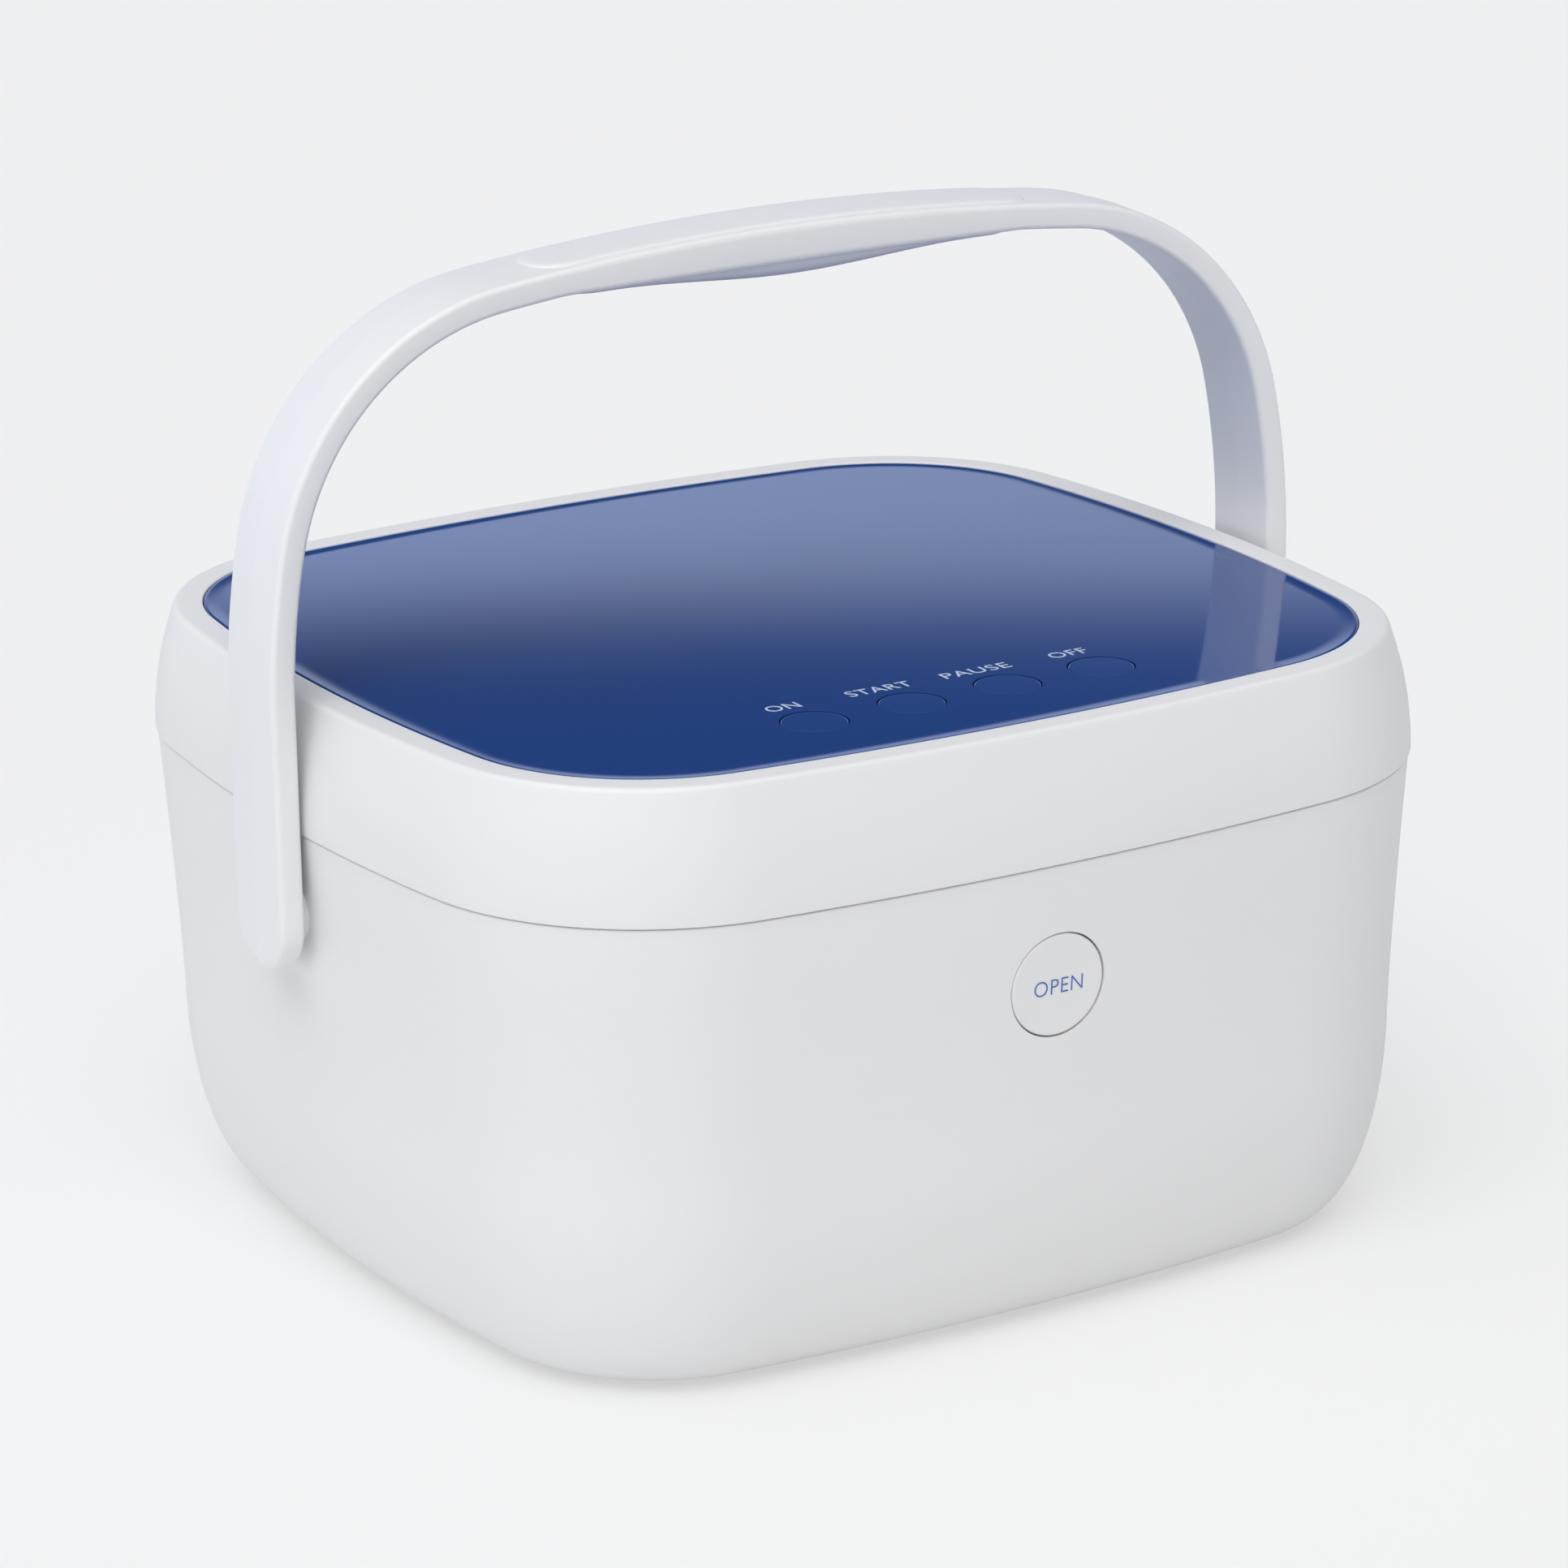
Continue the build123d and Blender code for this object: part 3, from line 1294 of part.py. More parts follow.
with BuildPart() as grip_underside:
    with BuildSketch(Plane.XZ.offset(-handle_y)):
        with BuildLine():
            Spline(*grip_line)
            upper = CenterArc((0, bow_crown_z), grip_radius, grip_turn, 180 - 2 * grip_turn)
            Line(grip_line[-1], upper @ 0)
            Line(grip_line[0], upper @ 1)
        make_face()
    extrude(amount=grip_half_width, both=True)
    with BuildSketch(Plane.YZ) as section:
        with Locations((handle_y, grip_low + 10)):
            RectangleRounded(2 * grip_half_width, 20, grip_round)
    extrude(amount=grip_half_length + 1, both=True, mode=Mode.INTERSECT)
grip_underside.part.label = "grip_underside"
export_step(grip_underside.part, "parts/grip_underside.step")

# Pivot studs and retaining washers of the handle
with BuildPart() as handle_studs:
    for side in (1, -1):
        tail = side * stud_inner
        neck = side * strap_inner
        head = side * (strap_inner + stud_head_depth)
        add(crosswise(tail, neck, handle_y, pivot_height, pivot_radius))
        add(crosswise(neck, head, handle_y, pivot_height, stud_head_diameter / 2))
handle_studs.part.label = "handle_studs"
export_step(handle_studs.part, "parts/handle_studs.step")

with BuildPart() as handle_washers:
    for side in (1, -1):
        inner = side * washer_inner
        outer = side * washer_outer
        add(crosswise(inner, outer, handle_y, pivot_height, washer_diameter / 2))
        add(crosswise(inner, outer, handle_y, pivot_height, pivot_radius), mode=Mode.SUBTRACT)
handle_washers.part.label = "handle_washers"
export_step(handle_washers.part, "parts/handle_washers.step")

# Bushes in the housing's side walls, which stand out as round bosses
with BuildPart() as handle_bushes:
    for side in (1, -1):
        root = side * (pivot_wall - 4)
        outer = side * boss_outer
        add(crosswise(root, outer, handle_y, pivot_height, boss_diameter / 2))
    add(housing_outside, mode=Mode.SUBTRACT)
    for side in (1, -1):
        inner = side * bush_inner
        outer = side * boss_outer
        add(crosswise(inner, outer, handle_y, pivot_height, bush_spigot_diameter / 2))
        bore = crosswise(inner, outer, handle_y, pivot_height, pivot_radius + pivot_play)
        add(bore, mode=Mode.SUBTRACT)
handle_bushes.part.label = "handle_bushes"
export_step(handle_bushes.part, "parts/handle_bushes.step")
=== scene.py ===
# %% [markdown]
# A sanitizer box for masks and tubes, dressed for a studio picture.
# The imported model gives every solid its place. Nothing here moves one of its nodes: a piece
# either gets a finish on the node as it is, or a finer mesh of our own that stands for it.

import json
import math

import bmesh
import bpy
from mathutils import Matrix, Vector


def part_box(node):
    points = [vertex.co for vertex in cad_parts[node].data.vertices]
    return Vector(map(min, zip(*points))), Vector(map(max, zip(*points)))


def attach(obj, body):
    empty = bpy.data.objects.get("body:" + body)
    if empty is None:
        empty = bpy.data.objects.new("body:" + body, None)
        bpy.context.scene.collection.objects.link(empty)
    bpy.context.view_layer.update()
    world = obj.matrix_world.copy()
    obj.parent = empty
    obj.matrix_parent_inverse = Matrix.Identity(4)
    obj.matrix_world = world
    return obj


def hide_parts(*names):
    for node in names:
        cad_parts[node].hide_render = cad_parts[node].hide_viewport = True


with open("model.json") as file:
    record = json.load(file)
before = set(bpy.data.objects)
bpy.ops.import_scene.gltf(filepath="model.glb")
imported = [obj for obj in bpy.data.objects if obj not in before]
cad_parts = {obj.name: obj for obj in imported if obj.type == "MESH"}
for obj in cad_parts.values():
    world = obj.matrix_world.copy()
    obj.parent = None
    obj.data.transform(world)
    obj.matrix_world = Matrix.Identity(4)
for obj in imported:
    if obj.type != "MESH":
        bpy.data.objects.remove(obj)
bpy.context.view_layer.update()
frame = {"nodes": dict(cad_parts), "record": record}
nodes = frame["nodes"]

# %% [markdown]
# All walls of the box follow one outline, seen from above: four long shallow bows joined by
# four corner arcs. Each wall stands out from the panel's edge by its own growth.
# A mesh could be carved by hand, but arcs give clean highlights, so we work them out once and
# let every shell reuse them. Sizes are in millimetres here and become metres in the mesh.

# %% The outline that every shell follows
MM = 0.001
half_width, half_depth = 135.8, 125.2
end_bow, side_bow, corner_arc = 792.0, 553.0, 54.0
arc_steps = 26

side_x = half_width - side_bow
end_y = half_depth - end_bow


def joined_arc(first, second, first_radius, second_radius, radius):
    """Centre of an arc that touches a side bow and an end bow from inside."""
    to_first, to_second = first_radius - radius, second_radius - radius
    apart = math.hypot(first, second)
    along = (to_first**2 - to_second**2 + apart**2) / (2 * apart)
    aside = math.sqrt(to_first**2 - along**2)
    step_x, step_y = -first / apart, second / apart
    return first + step_x * along - step_y * aside, step_y * along + step_x * aside


corner_x, corner_y = joined_arc(side_x, end_y, side_bow, end_bow, corner_arc)
side_turn = math.atan2(corner_y, corner_x - side_x)
end_turn = math.atan2(corner_y - end_y, corner_x)


def outline(growth):
    """Points of the outline at a growth, anticlockwise from the right-hand side."""
    half_turn = math.pi
    arcs = [
        (side_x, 0, side_bow, -side_turn, side_turn),
        (corner_x, corner_y, corner_arc, side_turn, end_turn),
        (0, end_y, end_bow, end_turn, half_turn - end_turn),
        (-corner_x, corner_y, corner_arc, half_turn - end_turn, half_turn - side_turn),
        (-side_x, 0, side_bow, half_turn - side_turn, half_turn + side_turn),
        (-corner_x, -corner_y, corner_arc, half_turn + side_turn, half_turn + end_turn),
        (0, -end_y, end_bow, half_turn + end_turn, 2 * half_turn - end_turn),
        (corner_x, -corner_y, corner_arc, -end_turn, -side_turn),
    ]
    points = []
    for x, y, radius, start, stop in arcs:
        for step in range(arc_steps):
            angle = start + (stop - start) * step / arc_steps
            reach = radius + growth
            points.append((x + reach * math.cos(angle), y + reach * math.sin(angle)))
    return points


def depth_at(x, growth):
    """Distance from the middle to the back wall at x."""
    x = abs(x)
    if x < (end_bow + growth) * math.cos(end_turn):
        return end_y + math.sqrt((end_bow + growth) ** 2 - x**2)
    return corner_y + math.sqrt((corner_arc + growth) ** 2 - (x - corner_x) ** 2)


print("corner arcs stand at", round(corner_x, 1), round(corner_y, 1))

# %% [markdown]
# A shell is a closed band of rings, one ring for each corner of its cross-section.
# Real mouldings have no sharp corner, so the cross-section is rounded first: each corner gets a
# small arc of its own radius. Then the rings are stitched with quads, and edges that really are
# creases are marked sharp by angle.

# %% Helpers for rounded sections and stitched shells
def rounded(section, steps=5):
    """Section points (growth, height, radius) with each corner replaced by an arc of its radius."""
    points = []
    count = len(section)
    for index, (x, z, radius) in enumerate(section):
        here = Vector((x, z))
        before = Vector(section[index - 1][:2]) - here
        after = Vector(section[(index + 1) % count][:2]) - here
        if radius <= 0:
            points.append((x, z))
            continue
        before_dir, after_dir = before.normalized(), after.normalized()
        between = before_dir.angle(after_dir)
        setback = radius / math.tan(between / 2)
        setback = min(setback, 0.49 * before.length, 0.49 * after.length)
        reach = setback * math.tan(between / 2)
        centre = here + (before_dir + after_dir).normalized() * math.hypot(setback, reach)
        start, stop = here + before_dir * setback, here + after_dir * setback
        for step in range(steps + 1):
            share = step / steps
            blend = (start * (1 - share) + stop * share) - centre
            spot = centre + blend.normalized() * reach
            points.append((spot.x, spot.y))
    return points


def ring(growth, height):
    """One ring of the outline at a height."""
    return [(x, y, height) for x, y in outline(growth)]


def make_mesh(name, points, faces, crease=32):
    """Object from points in millimetres, smooth except at creases over the given angle."""
    mesh = bpy.data.meshes.new(name)
    mesh.from_pydata([Vector(p) * MM for p in points], [], faces)
    mesh.update()
    work = bmesh.new()
    work.from_mesh(mesh)
    bmesh.ops.remove_doubles(work, verts=work.verts, dist=1e-7)
    bmesh.ops.recalc_face_normals(work, faces=work.faces)
    work.to_mesh(mesh)
    work.free()
    mesh.shade_smooth()
    mesh.set_sharp_from_angle(angle=math.radians(crease))
    piece = bpy.data.objects.new(name, mesh)
    bpy.context.scene.collection.objects.link(piece)
    return piece


def stitched(name, rings, closed=True, crease=32):
    """Shell through rings of equal length. An open one is capped at both ends."""
    size = len(rings[0])
    points = [p for one in rings for p in one]
    faces = []
    spans = len(rings) if closed else len(rings) - 1
    for level in range(spans):
        low, high = level * size, ((level + 1) % len(rings)) * size
        for step in range(size):
            after = (step + 1) % size
            faces.append((low + step, low + after, high + after, high + step))
    if not closed:
        faces.append(tuple(range(size)))
        faces.append(tuple((len(rings) - 1) * size + step for step in range(size)))
    return make_mesh(name, points, faces, crease)


def cut(piece, cutter, operation="DIFFERENCE", crease=32):
    """Applies a boolean with the cutter, which is deleted afterwards."""
    tool = piece.modifiers.new("cut", "BOOLEAN")
    tool.object, tool.operation, tool.solver = cutter, operation, "EXACT"
    graph = bpy.context.evaluated_depsgraph_get()
    result = bpy.data.meshes.new_from_object(piece.evaluated_get(graph))
    piece.modifiers.remove(tool)
    old, piece.data = piece.data, result
    bpy.data.meshes.remove(old)
    bpy.data.objects.remove(cutter)
    result.shade_smooth()
    result.set_sharp_from_angle(angle=math.radians(crease))
    return piece


def circle(radius, sides=96):
    """Points of a circle round the origin, anticlockwise."""
    angles = [2 * math.pi * step / sides for step in range(sides)]
    return [(radius * math.cos(angle), radius * math.sin(angle)) for angle in angles]


def round_bar(name, start, stop, radius, sides=96):
    """Closed cylinder between two points."""
    start, stop = Vector(start), Vector(stop)
    turn = (stop - start).to_track_quat("Z", "Y")
    spokes = [turn @ Vector((x, y, 0)) for x, y in circle(radius, sides)]
    rings = [[centre + spoke for spoke in spokes] for centre in (start, stop)]
    return stitched(name, rings, closed=False)


def box_between(name, low, high):
    """Closed box between two corners."""
    corners = [(low[0], low[1]), (high[0], low[1]), (high[0], high[1]), (low[0], high[1])]
    rings = [[(x, y, z) for x, y in corners] for z in (low[2], high[2])]
    return stitched(name, rings, closed=False)


print("helpers ready,", 8 * arc_steps, "points round each ring")

# %% [markdown]
# The lower housing is a thin moulding: a tapered wall that rolls into a flat bottom along a
# quarter ellipse. A solid block would look right from outside, but the lid opens, so the wall
# gets its inside too, and the opening for the base cover. The rim is rounded by less than half
# a millimetre, which is what draws the fine bright line along the seam.

# %% Lower housing
foot, housing_top, waist, wall = 2.2, 130.65, 58.0, 2.5
top_growth, waist_growth, bottom_growth, flare = 13.65, 9.4, -10.2, 1.25


def housing_growth(z):
    """Growth of the housing's wall above the waist; it flares a little towards the lid."""
    share = (z - waist) / (housing_top - waist)
    return waist_growth + share**flare * (top_growth - waist_growth)


def bottom_section(inset, steps=14):
    """Growth and height along the rolled bottom, from the flat up to the waist."""
    section = []
    for step in range(steps + 1):
        angle = math.radians(90 * (1 - step / steps))
        height = waist - (waist - foot - inset) * math.sin(angle)
        reach = (waist_growth - bottom_growth) * (1 - math.cos(angle))
        section.append((waist_growth - inset - reach, height))
    return section


def cover_ring(half_x, half_y, corner, height):
    """Rounded rectangle with as many points as the outline, matched by direction."""
    loop = []
    for x, y in outline(0):
        scale = min(half_x / max(abs(x), 1e-6), half_y / max(abs(y), 1e-6))
        px, py = x * scale, y * scale
        over_x, over_y = abs(px) - (half_x - corner), abs(py) - (half_y - corner)
        if over_x > 0 and over_y > 0:
            pull = corner / math.hypot(over_x, over_y)
            px = math.copysign(half_x - corner + over_x * pull, px)
            py = math.copysign(half_y - corner + over_y * pull, py)
        loop.append((px, py, height))
    return loop


rim = rounded(
    [
        (housing_growth(110), 110, 0),
        (top_growth, housing_top, 0.45),
        (top_growth - wall, housing_top, 0.4),
        (housing_growth(112) - wall, 112, 0),
    ]
)
outer = bottom_section(0)[:-1] + [(housing_growth(z), z) for z in (waist, 66, 74, 82, 90, 98, 104)]
inner = [(housing_growth(z) - wall, z) for z in (102, 92, 82, 72)] + bottom_section(wall)[::-1]
rings = [cover_ring(82.3, 72.3, 12, foot)]
rings += [ring(growth, z) for growth, z in outer + rim + inner]
rings += [
    cover_ring(88, 78, 12, 4.7), cover_ring(88, 78, 12, 7.2), cover_ring(76, 66, 12, 7.2),
    cover_ring(76, 66, 12, 4.7), cover_ring(82.3, 72.3, 12, 4.7),
]
housing = stitched("housing_moulding", rings)
print("housing rings:", len(rings))

# %% [markdown]
# The wall is pierced by the release button, the two handle pivots and the inlet at the back.
# Booleans with plain round cutters keep these holes exact. The rim at the back also gets a
# relief, a few tenths of a millimetre deep, because the lid's edge dips there when it opens.

# %% Holes in the housing
open_z, open_radius = 98.1, 13.8
seam_height = 131.0
wall_front = -depth_at(0, housing_growth(open_z))
pivot_y, pivot_z = -3.0, 108.5


open_play, pivot_hole = 0.4, 7.0
mouth = circle(open_radius + open_play, 128)
mouth_rings = [[(x, y, open_z + z) for x, z in mouth] for y in (-150, -128)]
cut(housing, stitched("cutter", mouth_rings, closed=False))
for side in (1, -1):
    start, stop = (side * 140, pivot_y, pivot_z), (side * 155, pivot_y, pivot_z)
    cut(housing, round_bar("cutter", start, stop, pivot_hole))
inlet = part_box("dc_inlet")
inlet_x = (inlet[0][0] + inlet[1][0]) / 2 / MM
inlet_z = (inlet[0][2] + inlet[1][2]) / 2 / MM
inlet_seat = inlet[1][1] / MM - 1.2


def inlet_bar(start, stop, radius):
    """Bar on the inlet's axis between two distances from its seat."""
    near_end, far_end = (inlet_x, inlet_seat + start, inlet_z), (inlet_x, inlet_seat + stop, inlet_z)
    return round_bar("cutter", near_end, far_end, radius)


inlet_pad, inlet_spot, inlet_bore = 10, 7.65, 5.65
cut(housing, inlet_bar(-5, 0, inlet_pad), "UNION")
cut(housing, inlet_bar(0, 10, inlet_spot))
cut(housing, inlet_bar(-9, 1, inlet_bore))
hinge_y, hinge_z, open_angle, lid_clearance = 135.6, 134.6, math.radians(15), 0.15
relief = box_between("cutter", (-75, -6, seam_height - hinge_z - lid_clearance), (75, 8, 2))
at_hinge = Matrix.Translation(Vector((0, hinge_y, hinge_z)) * MM)
relief.data.transform(at_hinge @ Matrix.Rotation(-open_angle, 4, "X"))
cut(housing, relief)
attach(housing, "housing")
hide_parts("housing_shell")
print("housing faces:", len(housing.data.polygons))

# %% [markdown]
# Where the handle turns, a round bush stands in the wall: a spigot inside, a small boss outside
# and a bore for the stud. Its section is a closed polygon, so it is spun round the pivot like a
# ring. Both bushes go into one mesh, because they are one node of the frame.

# %% Pivot bosses
boss_radius, spigot_radius, bore_radius = 8.6, 6.8, 4.1
boss_front = 150.2
boss_root = half_width + housing_growth(pivot_z) - 1.0
spigot_end = boss_root - 3.5


def pivot_boss(side):
    """One bush with its bore, along X."""
    section = [
        (bore_radius, spigot_end, 0.2), (spigot_radius, spigot_end, 0.3),
        (spigot_radius, boss_root, 0), (boss_radius, boss_root, 0),
        (boss_radius, boss_front, 0.5), (bore_radius, boss_front, 0.2),
    ]
    loops = []
    for radius, x in rounded(section, steps=4):
        loops.append([(side * x, pivot_y + y, pivot_z + z) for y, z in circle(radius)])
    return stitched("pivot_boss", loops)


bosses, other = pivot_boss(1), pivot_boss(-1)
both = bmesh.new()
both.from_mesh(bosses.data)
both.from_mesh(other.data)
both.to_mesh(bosses.data)
both.free()
bpy.data.objects.remove(other)
bosses.name = "pivot_bosses"
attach(bosses, "housing")
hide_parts("handle_bushes")
print("bosses reach to x", boss_front, "from the wall at", round(boss_root + 1.0, 1))

# %% [markdown]
# The lid is a frame: its wall bulges to a soft ridge at the seam and closes to a flat rim that
# holds the panel in a recess. The bulge is an arc of 90 mm that stands upright at the seam.
# The section runs once round the wall, the rim, the ledge and the inside, and is stitched like
# the housing. The bay at the back gives the hinge barrel its room.

# %% Lid frame
seam, rim_top, ridge_growth, bulge = seam_height, 165.0, 14.2, 90.0
panel_seat, ledge_under = 162.2, 160.0


def lid_growth(z):
    """Growth of the lid's bulged wall at a height."""
    return ridge_growth - bulge + math.sqrt(bulge**2 - (z - seam) ** 2)


shoulder = lid_growth(163.4)
lid_section = [(ridge_growth, seam, 0.4)]
lid_section += [(lid_growth(z), z, 0) for z in (134, 138, 142, 146, 150, 154, 158, 161.2)]
lid_section += [(shoulder - 0.35, rim_top, 1.9), (0.0, rim_top, 0.5), (0.0, panel_seat, 0)]
lid_section += [(-6.0, panel_seat, 0.3), (-6.0, ledge_under, 0.3)]
lid_section += [(lid_growth(ledge_under) - wall, ledge_under, 0.5)]
lid_section += [(lid_growth(z) - wall, z, 0) for z in (154, 148, 142, 136)]
lid_section += [(ridge_growth - wall, seam, 0.5)]
lid_rings = [ring(growth, z) for growth, z in rounded(lid_section, steps=6)]
lid = stitched("lid_moulding", lid_rings)
cut(lid, box_between("cutter", (-49, 129.4, 130), (49, 142, 139.4)))
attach(lid, "lid")
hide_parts("lid_shell")
print("lid rings:", len(lid_rings))

# %% [markdown]
# The panel is a tinted plate whose border turns up to the rim by less than a tenth of a
# millimetre. That can't be seen as a shape, but a mirror-like face shows it: the far border
# mirrors a higher, darker part of the room and draws a deep blue line, and the near border
# mirrors a lower, brighter part. Such a face also shows every fault of its normals, so narrow
# strips of faces keep the border's curve to itself, and the bevel on the holes hardens its normals.

# %% Top panel
panel_top, border_width, border_rise = 164.6, 5.0, 0.085


def panel_height(growth):
    """Height of the panel's face, which rises towards its border."""
    inside = max(0.0, 1 + (growth + 0.6) / border_width)
    return panel_top + border_rise * min(1.0, inside) ** 2


panel_section = rounded(
    [(-0.25, panel_seat, 0.2), (-0.25, panel_height(-0.6), 0.35), (-1.2, panel_height(-1.2), 0)]
)
for growth in (1.7, 2.2, 2.7, 3.2, 3.7, 4.2, 4.7, 5.2, 5.6):
    panel_section.append((-growth, panel_height(-growth)))
last_growth = panel_section[-1][0]
panel_rings = [ring(growth, z) for growth, z in panel_section]
panel_rings += [ring(last_growth - strip, panel_top) for strip in (0.15, 0.3, 0.5)]
panel = stitched("tinted_panel", panel_rings, closed=False)
button_xs = [-1.8 + 29.0 * share for share in (-1.5, -0.5, 0.5, 1.5)]
button_y, button_radius, button_hole = -94.2, 8.65, 9.0
for x in button_xs:
    cut(panel, round_bar("cutter", (x, button_y, 161), (x, button_y, 166), button_hole, 128))
edges = panel.modifiers.new("soft hole edges", "BEVEL")
edges.width, edges.segments, edges.harden_normals = 0.25 * MM, 3, True
edges.limit_method, edges.angle_limit = "ANGLE", math.radians(60)
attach(panel, "lid")
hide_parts("top_panel")
print("panel holes at x", [round(x, 1) for x in button_xs])

# %% [markdown]
# The push buttons are turned parts: a cap whose flat top lies a hair below the panel, a rounded
# edge, a flange that keeps it under the panel, and a stem. A lathe shape fits them best: one
# outline spun round its axis. Two rings close to the edge keep its rounding off the flat top.

# %% Push buttons
def turned(name, profile, sides=128):
    """Closed turned piece about Z from (radius, height) points."""
    rings = [[(x, y, height) for x, y in circle(radius, sides)] for radius, height in profile]
    return stitched(name, rings, closed=False)


def push_button(name, x):
    """One push button in its hole."""
    cap_top, flange_top, flange_low, stem_low, tip_low = 164.45, 161.95, 160.95, 157.75, 156.2
    edge_radius, flange_radius, stem_radius, tip_radius = 0.35, 10.25, 2.5, 1.7
    flat = [(button_radius * share, cap_top) for share in (0.02, 0.5, 0.93, 0.95)]
    edge = []
    for degrees in (0, 20, 40, 60, 80, 90):
        tilt = math.radians(degrees)
        aside, above = edge_radius * math.sin(tilt), edge_radius * math.cos(tilt)
        edge.append((button_radius - edge_radius + aside, cap_top - edge_radius + above))
    low = [
        (button_radius, flange_top), (flange_radius, flange_top), (flange_radius, flange_low),
        (stem_radius, flange_low), (stem_radius, stem_low), (tip_radius, stem_low), (tip_radius, tip_low),
    ]
    piece = turned(name, flat + edge + low)
    piece.data.transform(Matrix.Translation(Vector((x, button_y, 0)) * MM))
    return piece


buttons = []
for name, x in zip(("on", "start", "pause", "off"), button_xs):
    piece = push_button(name + "_cap", x)
    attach(piece, name + "_button")
    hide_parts(name + "_button")
    buttons.append(piece)
print("push buttons:", len(buttons))

# %% [markdown]
# The release button sits flush in a wall that leans and bows, so a flat cap would stand proud
# on one side. We spin a flat cap first and then set each point of its face on the wall's own
# surface, a hair below it. Behind the cap are the flange and the stem, as in the solid.

# %% Release button
def wall_at(x, z):
    """The front wall's surface at x and z."""
    return -depth_at(x, housing_growth(z))


flange_front, flange_back, stem_end = wall_front + 3.8, wall_front + 5.0, wall_front + 12.4


def release_button():
    """Cap on the wall's surface with flange and stem, all along Y."""
    edge_sunk, edge_radius, flange_radius, stem_radius = 0.1, 0.6, 15.6, 4.0
    on_wall = [(0.02, 0.32), (0.35, 0.3), (0.65, 0.24), (0.86, 0.16), (0.93, edge_sunk)]
    on_wall = [(open_radius * share, sunk) for share, sunk in on_wall]
    for degrees in (10, 30, 50, 70, 90):
        tilt = math.radians(degrees)
        aside, below = edge_radius * math.sin(tilt), edge_radius * (1 - math.cos(tilt))
        on_wall.append((open_radius - edge_radius + aside, edge_sunk + below))
    upright = [
        (open_radius, flange_front), (flange_radius, flange_front), (flange_radius, flange_back),
        (stem_radius, flange_back), (stem_radius, stem_end),
    ]
    rings = []
    for radius, sunk in on_wall:
        spots = [(x, open_z + z) for x, z in circle(radius, 128)]
        rings.append([(x, wall_at(x, z) + sunk, z) for x, z in spots])
    for radius, y in upright:
        rings.append([(x, y, open_z + z) for x, z in circle(radius, 128)])
    return stitched("release_cap", rings, closed=False)


release = release_button()
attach(release, "open_button")
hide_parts("open_button")
print("release button front at", round(wall_front, 2))

# %% [markdown]
# The handle is one flat strap bent into a bow: upright sides, a wide side arc, round shoulders
# and an almost flat crown. We walk along the strap's middle line, which knows for each length
# its place and its outward direction. Everything on the handle is then drawn in strap
# coordinates: length along it, distance across it and height above its middle.

# %% The handle's middle line
handle_half, strap, strap_width, handle_y = 158.4, 7.9, 26.3, -3.0
turn_z, handle_rise = 163.2, 109.4
crown_arc, shoulder_arc, side_arc = 741.0, 76.2, 216.0
bow_x, crown_z = handle_half - side_arc, handle_rise - crown_arc
shoulder_x, shoulder_up = joined_arc(bow_x, crown_z, side_arc, crown_arc, shoulder_arc)
first_turn = math.atan2(shoulder_up, shoulder_x - bow_x)
second_turn = math.atan2(shoulder_up - crown_z, shoulder_x)

mid = strap / 2
straight = turn_z - pivot_z
lengths = [
    straight,
    (side_arc - mid) * first_turn,
    (shoulder_arc - mid) * (second_turn - first_turn),
    (crown_arc - mid) * (math.pi / 2 - second_turn),
]
half_length = sum(lengths)


def on_strap(length):
    """Place and outward direction in the upright plane, for a length from the right-hand pivot."""
    mirror = 1
    if length > half_length:
        length, mirror = 2 * half_length - length, -1
    if length < lengths[0]:
        x, z, angle = handle_half - mid, pivot_z + length, 0.0
    else:
        rest = length - lengths[0]
        arcs = [
            (bow_x, turn_z, side_arc, 0.0, lengths[1]),
            (shoulder_x, turn_z + shoulder_up, shoulder_arc, first_turn, lengths[2]),
            (0.0, turn_z + crown_z, crown_arc, second_turn, lengths[3] + 1.0),
        ]
        for centre_x, centre_z, radius, start, span in arcs:
            if rest <= span:
                angle = start + rest / (radius - mid)
                x = centre_x + (radius - mid) * math.cos(angle)
                z = centre_z + (radius - mid) * math.sin(angle)
                break
            rest -= span
    return Vector((mirror * x, 0, z)), Vector((mirror * math.cos(angle), 0, math.sin(angle)))


def strap_point(length, across, height):
    """A point in the frame from strap coordinates."""
    place, out = on_strap(length)
    spot = place + out * height
    return (spot.x, handle_y + across, spot.z)


print("strap length between pivots:", round(2 * half_length, 1), "mm")

# %% [markdown]
# A slab on the strap has a loop of points round its edge, rows that cross it, and a few levels
# that say how far the loop is pushed out and how high it lies. Two rounded sides need levels
# from the top flat, over the edge, to the bottom flat. The bow's two faces meet their middle in a
# faint crease, where the mould's halves part, so the rows have points close to that line.

